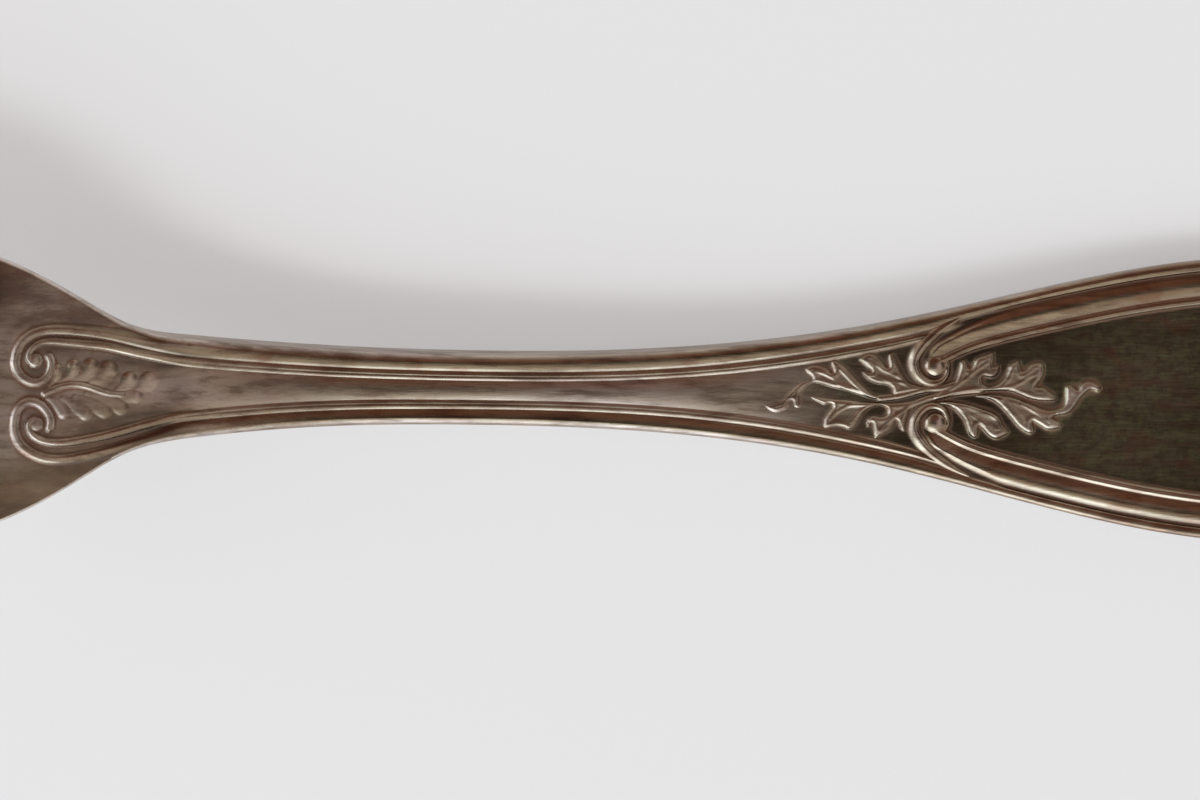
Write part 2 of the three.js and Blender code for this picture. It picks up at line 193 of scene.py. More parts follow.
front_radius = curve_through(
    (TINE_BASE, SLOT_FILLET), (60, 0.4), (70, 0.5), (NECK, 0.6), (98, 0.7), (125, 0.7), (140, 1.1),
    (END, 1.1),
)


def crest_height(station):
    return middle_height(station) + thickness(station) / 2


# Camera

TO_CAMERA = np.array([0, math.sin(CAMERA_TILT), math.cos(CAMERA_TILT)])
LEVEL_UP = np.array([0, math.cos(CAMERA_TILT), -math.sin(CAMERA_TILT)])
LEVEL_RIGHT = np.array([1.0, 0, 0])
IMAGE_RIGHT = LEVEL_RIGHT * math.cos(CAMERA_ROLL) + LEVEL_UP * math.sin(CAMERA_ROLL)
IMAGE_UP = LEVEL_UP * math.cos(CAMERA_ROLL) - LEVEL_RIGHT * math.sin(CAMERA_ROLL)
CAMERA_PLACE = AIM + CAMERA_DISTANCE * TO_CAMERA
FLOOR = -0.3
SIGHT_STEPS = 4


def on_back(pixel):
    """The station and across of a photo pixel on the fork's back."""
    right = (pixel[0] - PHOTO_WIDTH / 2) / PIXELS_PER_MM
    up = (PHOTO_HEIGHT / 2 - pixel[1]) / PIXELS_PER_MM
    ray = IMAGE_RIGHT * right + IMAGE_UP * up - TO_CAMERA * CAMERA_DISTANCE
    place = AIM
    for _ in range(SIGHT_STEPS):
        height = float(crest_height(place[0])) + FLOOR
        place = CAMERA_PLACE + ray * (height - CAMERA_PLACE[2]) / ray[2]
    return place[:2]


def to_row_frame(points):
    """Millimetres from the tine tips to metres in the row frame."""
    return (points * MM) + np.array([cad_low.x, 0, 0])


def new_object(name, data):
    made = bpy.data.objects.new(name, data)
    bpy.context.scene.collection.objects.link(made)
    return made


def stand(place, right, up, back):
    """The matrix of something at a place, in metres, with its three axes turned to these directions."""
    return Matrix.Translation(place) @ Matrix((right, up, back)).transposed().to_4x4()


def make_camera():
    data = bpy.data.cameras.new("camera")
    data.sensor_width = SENSOR_WIDTH
    data.lens = SENSOR_WIDTH * CAMERA_DISTANCE * PIXELS_PER_MM / PHOTO_WIDTH
    data.clip_start = CAMERA_NEAREST
    camera = new_object("camera", data)
    camera.matrix_world = stand(to_row_frame(CAMERA_PLACE), IMAGE_RIGHT, IMAGE_UP, TO_CAMERA)
    bpy.context.scene.camera = camera


# Ornament: strokes, leaves, lobes and balls raised on a grid

STROKE_REACH = 1.5
LEAF_HEIGHT = 0.31
LEAF_EDGE = 0.46
LEAF_RIM = 0.3
LEAF_HEART = 0.8
LEAF_HOLLOW = 0.2
VEIN_HEIGHT = 0.04
VEIN_WIDTHS = (0.34, 0.42)
VEIN_FULLNESS = 1.2
VEIN_INSET = 0.08
LOBE_MARGIN = 0.2
LOBE_FOOT_WIDTH = 0.4
LOBE_FOOT_HEIGHT = 0.3
LOBE_SWELL = 0.7
LOBE_FULLNESS = 0.95


def path_through(points):
    """A smooth path through plan points, as sampled points and each sample's share of the length."""
    points = np.array(points, float)
    lengths = np.concatenate([[0], np.cumsum(np.linalg.norm(np.diff(points, axis=0), axis=1))])
    along = np.linspace(0, lengths[-1], PATH_STEPS * (len(points) - 1) + 1)
    station = curve_through(*zip(lengths, points[:, 0]))
    across = curve_through(*zip(lengths, points[:, 1]))
    return np.stack([station(along), across(along)], 1), along / lengths[-1]


def traced(pixels):
    """A smooth path over the back through photo pixels."""
    return path_through([on_back(pixel) for pixel in pixels])


def bend_path(first, bend, last):
    share = np.linspace(0, 1, BEND_STEPS + 1)
    weights = np.stack([(1 - share) ** 2, 2 * share * (1 - share), share ** 2], 1)
    return weights @ np.array([first, bend, last]), share


def closed_outline(points):
    """A smooth closed curve through plan points, as sampled points."""
    points = np.array(points, float)
    before = np.roll(points, 1, 0)
    after = np.roll(points, -1, 0)
    later = np.roll(points, -2, 0)
    samples = []
    for share in np.linspace(0, 1, OUTLINE_STEPS, endpoint=False):
        square = share * share
        cube = square * share
        samples.append(0.5 * (
            2 * points + (after - before) * share + (2 * before - 5 * points + 4 * after - later) * square
            + (3 * points - before - 3 * after + later) * cube))
    return np.stack(samples, 1).reshape(-1, 2)


def to_segment(place, first, last):
    """Where a segment is nearest to each place, as a share of it, and how far it is."""
    step = last - first
    share = np.clip((place - first) @ step / max(step @ step, TINY), 0, 1)
    return share, np.linalg.norm(place - first - share[:, None] * step, axis=1)


class Canvas:
    """Relief raised over the fork's back, on a grid of places."""

    def __init__(self, station, across):
        self.station = station
        self.across = across
        self.relief = np.zeros_like(station)

    def boxed(self, points, reach=0):
        """The grid in a box round some points: a mask and the places in it."""
        low = points.min(0) - reach
        high = points.max(0) + reach
        along = (self.station > low[0]) & (self.station < high[0])
        mask = along & (self.across > low[1]) & (self.across < high[1])
        return mask, np.stack([self.station[mask], self.across[mask]], 1)

    def near(self, path, reach):
        """The grid near a path: a mask, the distances and the shares of the path's length."""
        points, shares = path
        mask, place = self.boxed(points, reach)
        best = np.full(len(place), np.inf)
        share = np.zeros(len(place))
        for i in range(len(points) - 1):
            part, distance = to_segment(place, points[i], points[i + 1])
            closer = distance < best
            best[closer] = distance[closer]
            share[closer] = between(shares[i], shares[i + 1], part[closer])
        return mask, best, share

    def inside(self, outline):
        """The grid in a closed outline: a mask of its box and the depth in from the outline."""
        mask, place = self.boxed(outline)
        depth = np.full(len(place), np.inf)
        inside = np.zeros(len(place), bool)
        for first, last in zip(outline, np.roll(outline, -1, 0)):
            depth = np.minimum(depth, to_segment(place, first, last)[1])
            spans = (first[1] > place[:, 1]) != (last[1] > place[:, 1])
            run, rise = last - first
            inside ^= spans & (place[:, 0] < first[0] + (place[:, 1] - first[1]) / (rise or TINY) * run)
        return mask, np.where(inside, depth, 0)

    def lift(self, mask, rise):
        self.relief[mask] = np.maximum(self.relief[mask], rise)

    def stroke(self, path, width, height, fullness, lean=0):
        """A rounded ridge along a path. Width and height are functions of the share of its length.
        A lean moves its crest towards the handle's end."""
        mask, distance, share = self.near(path, STROKE_REACH)
        half = width(share) / 2
        aside = np.clip((self.station[mask] - np.interp(share, path[1], path[0][:, 0])) / half, -1, 1)
        self.lift(mask, height(share) * rounded(distance / half) ** fullness * (1 + lean * aside))

    def leaf(self, outline, veins):
        """A leaf: a rounded rim, a blade that dips inside it and veins that stand up from the blade."""
        mask, depth = self.inside(closed_outline([on_back(pixel) for pixel in outline]))
        edge = 1 - (1 - np.clip(depth / LEAF_EDGE, 0, 1)) ** 2
        blade = LEAF_HEIGHT * edge * (1 - LEAF_HOLLOW * ease(LEAF_RIM, LEAF_HEART, depth))
        veined = Canvas(self.station, self.across)
        for vein in veins:
            veined.stroke(traced(vein), fading(*VEIN_WIDTHS), constant(VEIN_HEIGHT), VEIN_FULLNESS)
        self.lift(mask, blade + veined.relief[mask] * (depth > VEIN_INSET))

    def lobe(self, path, width, height):
        """A worn leaf lobe along a path: a pillow with a rounded tip."""
        mask, distance, share = self.near(path, width / 2 + LOBE_MARGIN)
        half = width / 2 * between(LOBE_FOOT_WIDTH, 1, ease(0, LOBE_SWELL, share))
        rise = height * between(LOBE_FOOT_HEIGHT, 1, share ** 2)
        self.lift(mask, rise * rounded(distance / half) ** LOBE_FULLNESS)

    def ball(self, centre, radius, height):
        distance = np.hypot(self.station - centre[0], self.across - centre[1])
        np.maximum(self.relief, height * np.sqrt(rounded(distance / radius)), out=self.relief)


# Root: volutes that the shank's border curls into, and a sprig between them

REED_AT_NECK = 1.45
THREAD_AT_NECK = 0.85
VOLUTE_HEIGHT = 0.27
VOLUTE_THREAD_HEIGHT = VOLUTE_HEIGHT * 0.95
VOLUTE_FULLNESS = 0.95
VOLUTE_EYE_RADIUS = 0.6
SHOULDER_WIDTH = 1.9
SHOULDER_HEIGHT = 0.03
SHOULDER_FULLNESS = 1.5
SPRIG_HEIGHT = 0.19
SPRIG_STEM_WIDTHS = (0.6, 0.5)
SPRIG_FADE = 0.55
STEM_FULLNESS = 1.0

# Lines of the volutes in photo pixels, from the neck to the eye
VOLUTES = (
    {
        "shoulder": [
            (160, 338), (134, 334.5), (115, 330), (96, 326), (76, 323), (57, 321.5), (42, 323), (27, 329),
            (14, 339),
        ],
        "ridge": [
            (200, 350), (172, 346.5), (134, 339.5), (107, 334), (82, 331), (57, 329.6), (40, 331.5),
            (28.7, 336.7), (20, 346), (16.3, 356.7), (16.3, 366), (20, 374), (28.7, 380.7), (38.3, 382.3),
            (46, 377.8), (50.5, 370), (51.5, 362.5), (49.5, 356.5),
        ],
        "thread": [
            (200, 362), (172, 358.7), (134, 352), (107, 346), (82, 343.3), (61, 341.4), (46, 341.4),
            (36.4, 344.8), (30.3, 351.5), (29.3, 358.5), (33, 363),
        ],
        "eye": (35.5, 360),
    },
    {
        "shoulder": [
            (160, 444), (134, 452), (107, 460), (82, 466), (61, 468.5), (42, 467), (27, 461), (14, 450),
        ],
        "ridge": [
            (200, 425), (163, 436), (134, 444.5), (107, 452), (82, 457), (61, 459.5), (46, 458.5),
            (30.6, 452.4), (20, 443), (15.3, 431.4), (15.3, 420), (19, 408.4), (28.7, 401.5), (38.3, 403),
            (46, 410), (50.7, 420), (49.8, 428.5),
        ],
        "thread": [
            (200, 411.5), (163, 420), (134, 427.6), (107, 435), (82, 440), (63, 442.5), (45, 441),
            (34.5, 436), (29.8, 429), (30, 422), (34, 419),
        ],
        "eye": (36.4, 423.7),
    },
)
# Sprig in photo pixels: lobes with foot, bend, tip and width, the columns over which they sink, and a stem
SPRIG_LOBES = [
    ((50, 385), (58, 378), (57.5, 369), 11),
    ((60, 381), (73, 377), (74, 365.5), 13),
    ((72, 379), (88, 378), (91, 366), 16),
    ((92, 381), (100, 380), (108, 370), 20),
    ((118, 388), (126, 386), (129.5, 379), 15),
    ((136, 391), (144, 388), (149, 380), 18),
    ((48, 398), (59, 402), (64, 413), 12),
    ((63, 398), (76, 404), (86, 413), 15),
    ((75, 397), (90, 402), (105, 411), 16),
    ((87, 393), (107, 398), (121, 408), 15),
    ((112, 396), (126, 397), (136, 396.5), 14),
]
SINK_START = 57
SINK_END = 149
SPRIG_STEM = [(45, 393), (63, 386), (77, 384.5), (92, 388), (107, 393), (122, 395)]

volute_ridge_width = curve_through((0, REED_AT_NECK), (0.15, 1.35), (0.4, 1.05), (0.6, 0.92), (1, 0.7))
volute_thread_width = curve_through((0, THREAD_AT_NECK), (0.5, 0.85), (1, 0.55))


def paint_root(canvas):
    lines = (
        ("shoulder", constant(SHOULDER_WIDTH), SHOULDER_HEIGHT, SHOULDER_FULLNESS),
        ("ridge", volute_ridge_width, VOLUTE_HEIGHT, VOLUTE_FULLNESS),
        ("thread", volute_thread_width, VOLUTE_THREAD_HEIGHT, VOLUTE_FULLNESS),
    )
    for volute in VOLUTES:
        for line, width, height, fullness in lines:
            canvas.stroke(traced(volute[line]), width, constant(height), fullness)
        canvas.ball(on_back(volute["eye"]), VOLUTE_EYE_RADIUS, VOLUTE_HEIGHT)
    for foot, bend, tip, width in SPRIG_LOBES:
        path = bend_path(on_back(foot), on_back(bend), on_back(tip))
        fade = between(1, SPRIG_FADE, (tip[0] - SINK_START) / (SINK_END - SINK_START))
        canvas.lobe(path, width / PIXELS_PER_MM, SPRIG_HEIGHT * fade)
    canvas.stroke(traced(SPRIG_STEM), fading(*SPRIG_STEM_WIDTHS), constant(SPRIG_HEIGHT), STEM_FULLNESS)


# Handle: scrolls where the panel's border starts, and leaf sprays that cross between them

ORNAMENT_AXIS = 394.5
STEM_WIDTH = 0.75
STEM_HEIGHT = 0.27
SCROLL_HEIGHT = 0.36
SCROLL_FULLNESS = 0.9
SCROLL_LEAN = 0.4
SCROLL_EYE_RADIUS = 0.92
SCROLL_EYE_HEIGHT = 0.46
scroll_width = curve_through((0, 0.35), (0.12, 0.8), (0.35, 1.2), (0.6, 1.05), (0.8, 0.68), (1, 0.4))
scroll_height = curve_through((0, 0.26), (0.15, 0.32), (0.3, SCROLL_HEIGHT), (0.7, SCROLL_HEIGHT), (1, 0.2))

# The lower scroll in photo pixels
SCROLL_EYE = (935.5, 423)
SCROLL_PATH = [
    (969, 476), (957, 470.5), (945, 463.5), (935, 456.5), (925.5, 448), (918, 439), (914, 430.5),
    (914, 421.5), (918, 413.5), (925, 408), (933, 406), (941, 408.5), (946, 415), (947, 423),
    (943, 430.5), (935.5, 434.5),
]
# Leaves in photo pixels: each has a closed outline and its veins
LEAVES = [
    ([
        (926, 388), (912, 392.5), (900, 395.5), (890, 396), (880, 395.5), (872, 392), (864, 385.5),
        (856, 377), (849, 369.5), (842, 363.5), (836, 360), (831, 360.5), (830.5, 365), (832, 371),
        (828, 368), (822, 365.5), (815, 364), (809, 365), (804, 368.5), (806, 373), (811, 378),
        (805, 379), (798, 382), (792, 387), (786, 393), (780, 399), (773, 402), (762, 403), (765, 408.5),
        (771, 412.5), (777, 413.5), (783, 411.8), (787.5, 409.5), (789, 404), (791.5, 402), (793, 406.5),
        (796.5, 409), (800, 408), (801, 403), (801.5, 396), (804, 390), (809, 385.8), (815, 384),
        (824, 386), (832, 388.5), (842, 390.5), (852, 393), (862, 396.5), (872, 399.5), (884, 400),
        (898, 398.5), (912, 396), (928, 393),
    ], [
        [(815, 371), (826, 374), (834, 378.5), (842, 386), (850, 391), (860, 394.5)],
        [
            (840, 369), (848, 377), (857, 386), (868, 394), (880, 398), (892, 397.5), (908, 394),
            (926, 389),
        ],
    ]),
    ([
        (926, 386), (917, 384.5), (909, 381), (904, 374.5), (900, 366), (896, 358), (892.5, 352.5),
        (889, 352), (887.5, 358), (887.5, 366), (883, 362), (879, 357), (874, 353.5), (868, 352.5),
        (862, 355), (858, 359), (861, 363), (866, 367.5), (870, 371), (861.5, 370), (862.5, 374.5),
        (866, 379), (871, 382.5), (878, 384.8), (885, 385.5), (890, 387.5), (892, 391), (890.5, 396),
        (905, 394.5), (926, 390),
    ], [
        [(867, 360.5), (876, 365), (886, 370.5), (898, 376), (908, 380)],
        [(870, 374), (880, 377), (892, 380.5), (904, 382.5), (918, 385)],
    ]),
    ([
        (926, 396), (910, 400), (895, 401.5), (878, 401.5), (860, 400), (845, 398.5), (830, 397.5),
        (818, 396), (808.5, 394.5), (811.5, 399), (818, 403), (824, 405.8), (829, 404.3), (831.5, 406),
        (827.5, 411), (824, 416.5), (822.5, 422), (823, 428), (828, 429), (836, 427.5), (843, 428.5),
        (848, 430.5), (853, 429), (857, 424.5), (860.5, 418.5), (865, 412.5), (871, 408.3), (878, 406),
        (884, 407), (886.5, 411), (884, 415), (879, 415.5), (873, 414.5), (868, 416.8), (865.5, 422),
        (866, 428.5), (869, 427), (871.5, 424), (873, 431), (874, 438.5), (880, 436.5), (888, 432.5),
        (892.5, 428), (896, 421.5), (899, 428), (902.5, 431.5), (905.5, 430), (907, 422), (909.5, 413),
        (914, 406.5), (926, 401),
    ], [
        [(830, 418), (838, 411), (846, 406.5), (860, 404), (880, 403)],
        [(850, 422), (858, 413), (866, 408), (878, 404.5)],
        [(879, 430), (888, 421.5), (896, 415), (905, 409), (916, 403)],
    ]),
    ([
        (930, 396), (938, 391), (946, 387.5), (952, 382.5), (956, 376), (958.5, 368), (960.5, 361.5),
        (963.5, 359.5), (966.5, 362.5), (969.5, 367.5), (972, 364.5), (975.5, 358), (982, 355.5),
        (993, 352.5), (994, 359), (994, 366), (998.5, 365.5), (1000, 369), (998.5, 374), (994, 378),
        (988.5, 378), (984, 377.5), (982.5, 381), (985.5, 385), (992, 385.2), (998, 382.8), (1003.5, 377),
        (1007, 370), (1010, 364), (1019, 360.5), (1020.3, 366), (1022.5, 370.5), (1026, 368),
        (1030, 364.3), (1038, 362.3), (1043.5, 365), (1044.3, 372), (1042, 380), (1037, 386),
        (1044, 387.5), (1050, 392), (1057, 398.5), (1052, 401.5), (1040, 401.2), (1030, 399.3),
        (1020, 395.5), (1010, 392), (995, 391.3), (975, 393), (955, 396.5), (936, 401),
    ], [
        [(942, 391), (955, 386), (966, 378.5), (976, 371), (987, 362.5)],
        [(972, 390), (1000, 388.5), (1012, 386), (1022, 381.5), (1030, 376.5), (1036, 374)],
        [
            (935, 398), (955, 392.5), (975, 390), (1000, 390), (1014, 393.5), (1030, 398), (1045, 400),
            (1055, 399.5),
        ],
    ]),
    ([
        (932, 402), (945, 400.5), (958, 401.5), (968, 403), (980, 407), (992, 411), (999, 415.5),
        (1001.5, 420.5), (1003.5, 425), (1008.5, 430), (1007.5, 434.5), (1002, 437.5), (996, 439.5),
        (990, 437.5), (984.5, 432.5), (979.5, 427), (978, 431.5), (977, 437), (973.5, 438.5),
        (968.5, 434.5), (966, 428), (963.5, 421), (959, 415), (952.5, 409), (944, 405.5),
    ], [
        [(946, 402.5), (962, 404.5), (971, 407), (980, 410), (990, 413.5), (996, 418)],
        [(956, 406), (966, 411.5), (976, 417.5), (986, 423.5), (996, 429)],
    ]),
    ([
        (975, 396.5), (983, 397.5), (990, 400), (996, 403.5), (1001, 408), (1006, 413.5), (1011, 419.5),
        (1016, 425.5), (1021, 430), (1027, 433.5), (1031, 434), (1034, 431.5), (1033.5, 426),
        (1033, 422.5), (1036, 424), (1041, 427), (1046, 430), (1051, 430.5), (1057, 429.5), (1062, 427),
        (1060, 422.5), (1053.5, 417.5), (1058, 416), (1066, 415), (1071, 412), (1076, 406), (1080, 400),
        (1084, 395.5), (1089, 391.5), (1093, 391), (1098, 392), (1101, 390), (1099, 385), (1093, 381.5),
        (1086, 381), (1080, 384), (1077, 389), (1074, 387), (1068, 384.5), (1065.5, 387), (1064.5, 393),
        (1064.5, 400), (1062, 405.5), (1057, 409), (1050, 410), (1042, 408), (1033, 404), (1022, 399.5),
        (1010, 396), (995, 393.5), (978, 394.5),
    ], [
        [(1002, 398.5), (1010, 406), (1017, 413), (1024, 421)],
        [(1022, 403), (1034, 411), (1043, 417.5), (1052, 424)],
        [(1058, 412.5), (1068, 410.5), (1074, 403), (1080, 394), (1088, 387)],
    ]),
]
STEMS = [
    [(890, 420), (905, 409), (920, 401.5), (936, 396.5), (955, 392.5), (980, 390)],
    [(880, 398), (905, 394.5), (924, 389.5), (942, 388), (956, 384)],
]


def mirrored(pixel):
    return pixel[0], 2 * ORNAMENT_AXIS - pixel[1]


def paint_leaves(canvas):
    for outline, veins in LEAVES:
        canvas.leaf(outline, veins)
    for stem in STEMS:
        canvas.stroke(traced(stem), constant(STEM_WIDTH), constant(STEM_HEIGHT), STEM_FULLNESS)


def paint_scrolls(canvas):
    for turn in (mirrored, tuple):
        path = traced([turn(pixel) for pixel in SCROLL_PATH])
        canvas.stroke(path, scroll_width, scroll_height, SCROLL_FULLNESS, SCROLL_LEAN)
        canvas.ball(on_back(turn(SCROLL_EYE)), SCROLL_EYE_RADIUS, SCROLL_EYE_HEIGHT)


# Border: mouldings that follow the outline. Heights are measured from the crests of the outer reed.

REED_CREST = 0.42
GROOVE_HALF_WIDTH = 0.25
THREAD_LINE_DEPTH = 0.03
THREAD_LINE_REACH = 0.09
THREAD_LINE_PLACE = 0.55
THREAD_FULLNESS = 0.95
THREAD_FADES = (0.35, 0.62)
RIB_CREST = 0.0
RIB_HALF_LEAST = 0.1
RIB_POWERS = (2, 7)
RIB_FLATTENS = (1.7, 3.4)
RIB_SINKS = (1.2, 3.2)
FLOOR_CREST = FLOOR + 0.05
BAND_VALLEY = -0.32
BAND_INNER_VALLEY = -0.22
BAND_CREST = 0.0
BAND_FULLNESS = 1.1
BAND_BLEND = 0.8
PANEL_FLOOR = -0.36
PANEL_THREAD_WIDTH = 0.78
SLANT_STEP = 0.02
ORNAMENT_FOOT = 0.02
BELOW_ALL = -9
VOLUTE_BLEND = 4.5

# The front: a shallow reed along the shank and handle, and a sloped rim on the root
FRONT_REED_WIDTH = 1.3
FRONT_STEP = (1.3, 1.7)
FRONT_EDGE_VALLEY = 0.3
FRONT_VALLEY = 0.2
FRONT_FLOOR = 0.12
FRONT_FULLNESS = 0.55
FRONT_RIM_HEIGHT = 1.9
FRONT_RIM_WIDTH = 3.5
FRONT_RIM_STARTS = (52, 60)
FRONT_BLEND = 6

reed_width = curve_through(
    (NECK, REED_AT_NECK), (87, 1.4), (99, 1.38), (117.5, 1.46), (126, 1.4), (132.5, 1.36), (136.5, 1.32),
    (138, 1.22), (139.5, 1.07), (141, 1.0), (143, 0.96), (147, 0.97), (151, 1.0), (END, 1.05),
)
thread_width = curve_through(
    (NECK, THREAD_AT_NECK), (87, 0.8), (99, 0.76), (117.5, 0.8), (133, 0.8), (136.6, 0.66), (139.8, 0.3),
    (END, 0.3),
)
band_width = curve_through(
    (136.5, 2.7), (138, 2.35), (140.8, 2.05), (143, 2.02), (147, 2.02), (151, 2.0), (END, 1.97),
)
# Station at which the panel's border starts, by distance in from the outline
band_start = curve_through(
    (0, 142), (1.0, 141.4), (1.3, 140.3), (1.6, 139.2), (1.86, 138.3), (2.14, 137.5), (2.45, 136.8),
    (2.92, 136.3), (3.5, 136.1), (5, 136), (20, 136),
)
valley_depth = curve_through(
    (NECK, -0.15), (95, -0.13), (112, -0.15), (126, -0.21), (135, -0.22), (END, -0.22),
)
reed_fall = curve_through((NECK, 0.42), (95, 0.36), (112, 0.4), (130, 0.5), (END, 0.5))
thread_crest = curve_through((NECK, -0.06), (95, -0.05), (112, -0.06), (122, -0.06), (END, -0.05))
root_drop = curve_through((50, 0), (60, 0.03), (70, 0.26), (NECK, 0.36), (END, 0.36))
root_crown = curve_through((0, 0.5), (50, 0.5), (60, 0.65), (68, 0.45), (73, 0.1), (NECK, 0), (END, 0))


def moulding(distance, start, width, outer_valley, inner_valley, crest, fullness):
    """A rounded moulding between two valleys, across a distance in from the outline."""
    share = np.clip((distance - start) / width, 0, 1)
    valley = between(outer_valley, inner_valley, share)
    return valley + (crest - valley) * (1 - (2 * share - 1) ** 2) ** fullness


def reed_rise(station, distance, width, valley):
    """The outer reed: a broad crest, falling gently to the outline and sharply to the groove inside it."""
    share = np.clip(distance / width, 0, 1)
    fall = reed_fall(station)
    crown = fall * (share - REED_CREST) ** 2
    inner_fall = fall * (1 - REED_CREST) ** 2
    groove = (valley + inner_fall) * ease(1 - GROOVE_HALF_WIDTH / width, 1, share)
    return groove - crown


def double_thread(station, distance, start, width, outer_valley, inner_valley):
    """Two fine threads side by side, between the valley outside them and the one inside."""
    standing = ease(*THREAD_FADES, width)
    crest = between(outer_valley, thread_crest(station), standing)
    line = np.exp(-((distance - start - width * THREAD_LINE_PLACE) / THREAD_LINE_REACH) ** 2)
    whole = moulding(distance, start, width, outer_valley, inner_valley, crest, THREAD_FULLNESS)
    return whole - THREAD_LINE_DEPTH * standing * line


def shank_border(station, across, distance):
    reed = reed_width(station)
    thread = thread_width(station)
    half_floor = np.maximum(half_width(station) - reed - thread, RIB_HALF_LEAST)
    power = between(*RIB_POWERS, ease(*RIB_FLATTENS, half_floor))
    crest = between(RIB_CREST, FLOOR_CREST, ease(*RIB_SINKS, half_floor))
    share = np.clip(np.abs(across) / half_floor, 0, 1)
    valley = valley_depth(station)
    rib = valley + (crest - valley) * (1 - share ** power)
    threads = double_thread(station, distance, reed, thread, valley, valley)
    inner = np.where(distance < reed + thread, threads, rib)
    return np.where(distance < reed, reed_rise(station, distance, reed, valley), inner)


def panel_border(station, distance):
    reed = reed_width(station)
    band = band_width(station)
    width = np.full_like(distance, PANEL_THREAD_WIDTH)
    threads = double_thread(station, distance, reed + band, width, BAND_INNER_VALLEY, PANEL_FLOOR)
    inner = np.where(distance < reed + band + PANEL_THREAD_WIDTH, threads, PANEL_FLOOR)
    rise = moulding(distance, reed, band, BAND_VALLEY, BAND_INNER_VALLEY, BAND_CREST, BAND_FULLNESS)
    inner = np.where(distance < reed + band, rise, inner)
    return np.where(distance < reed, reed_rise(station, distance, reed, BAND_VALLEY), inner)


def root_plate(station, across):
    share = np.clip(np.abs(across) / half_width(station), 0, 1)
    return -root_drop(station) - root_crown(station) * share ** 3


def back_relief(station, across, distance, on_handle):
    """Height of the back over the level of the reed's crests."""
    shank = shank_border(station, across, distance)
    panel = panel_border(station, distance)
    slant = (band_start(distance + SLANT_STEP) - band_start(distance - SLANT_STEP)) / (2 * SLANT_STEP)
    beyond = ease(0, BAND_BLEND, (station - band_start(distance)) / np.hypot(1, slant))
    border = between(shank, panel, beyond)
    foot = between(FLOOR, PANEL_FLOOR, beyond) - ORNAMENT_FOOT
    border = np.maximum(border, np.where(on_handle > 0, foot + on_handle, BELOW_ALL))
    on_root = Canvas(station, across)
    paint_root(on_root)
    plate = root_plate(station, across) + on_root.relief
    return between(plate, border, ease(NECK - VOLUTE_BLEND, NECK, station))


def front_relief(station, distance):
    """How far the front lies above the level of its own reed's crests."""
    reed = moulding(distance, 0, FRONT_REED_WIDTH, FRONT_EDGE_VALLEY, FRONT_VALLEY, 0, FRONT_FULLNESS)
    floor = between(FRONT_VALLEY, FRONT_FLOOR, ease(*FRONT_STEP, distance))
    lines = np.where(distance < FRONT_REED_WIDTH, reed, floor)
    slope = (1 - np.clip(distance / FRONT_RIM_WIDTH, 0, 1)) ** 2
    rim = FRONT_RIM_HEIGHT * ease(*FRONT_RIM_STARTS, station) * slope
    return between(rim, lines, ease(NECK - FRONT_BLEND, NECK, station))


# Rows and columns of the grid over the fork

BASE_HALF = float(half_width(TINE_BASE))
BASE_TINE_WIDTH = (2 * BASE_HALF - (TINE_COUNT - 1) * SLOT_WIDTH) / TINE_COUNT
END_HALF = float(half_width(WIDEST))
END_TURN = np.linspace(0, math.pi / 2, END_ROWS + 1)
BORDER_REACH = 4.2
BORDER_SHARE = 0.72
STRAIGHT = np.concatenate([
    np.linspace(start, end, round((end - start) / step), endpoint=False) for start, end, step in ROW_ZONES])


def row_at(station):
    return SLOT_ROWS + int(np.argmin(np.abs(STRAIGHT - station)))


def slot_columns(tine_segments):
    """Across and start station of the columns at the tines' base, which run round the ends of the slots."""
    across = []
    start = []
    for order in range(TINE_COUNT):
        centre = (order - (TINE_COUNT - 1) / 2) * (BASE_TINE_WIDTH + SLOT_WIDTH)
        flat = BASE_TINE_WIDTH / 2 - SLOT_FILLET
        across.extend(np.linspace(centre - flat, centre + flat, tine_segments + 1))
        start.extend([TINE_BASE] * (tine_segments + 1))
        if order < TINE_COUNT - 1:
            turn = np.linspace(0, math.pi, SLOT_SEGMENTS + 1)[1:-1]
            middle = centre + (BASE_TINE_WIDTH + SLOT_WIDTH) / 2
            across.extend(middle - SLOT_REACH * np.cos(turn))
            start.extend(TINE_BASE + SLOT_REACH * np.sin(turn))
    return np.array(across), np.array(start)


def column_shares(count, border):
    """Each column's share of the border zone and its share of the inner zone."""
    inner = count - 2 * border
    border_share = np.concatenate([
        np.linspace(0, 1, border, endpoint=False), np.ones(inner + 1), np.linspace(1, 0, border + 1)[1:]])
    inner_share = np.concatenate([-np.ones(border), np.linspace(-1, 1, inner + 1), np.ones(border)])
    return border_share, inner_share


def border_reach(station):
    return np.minimum(BORDER_REACH, BORDER_SHARE * half_width(station))


def outward_at_end():
    """The direction out of the outline on the +Y side, for each row round the handle's end."""
    return unit(np.stack([np.sin(END_TURN) / END_LENGTH, np.cos(END_TURN) / END_HALF, 0 * END_TURN], 1))


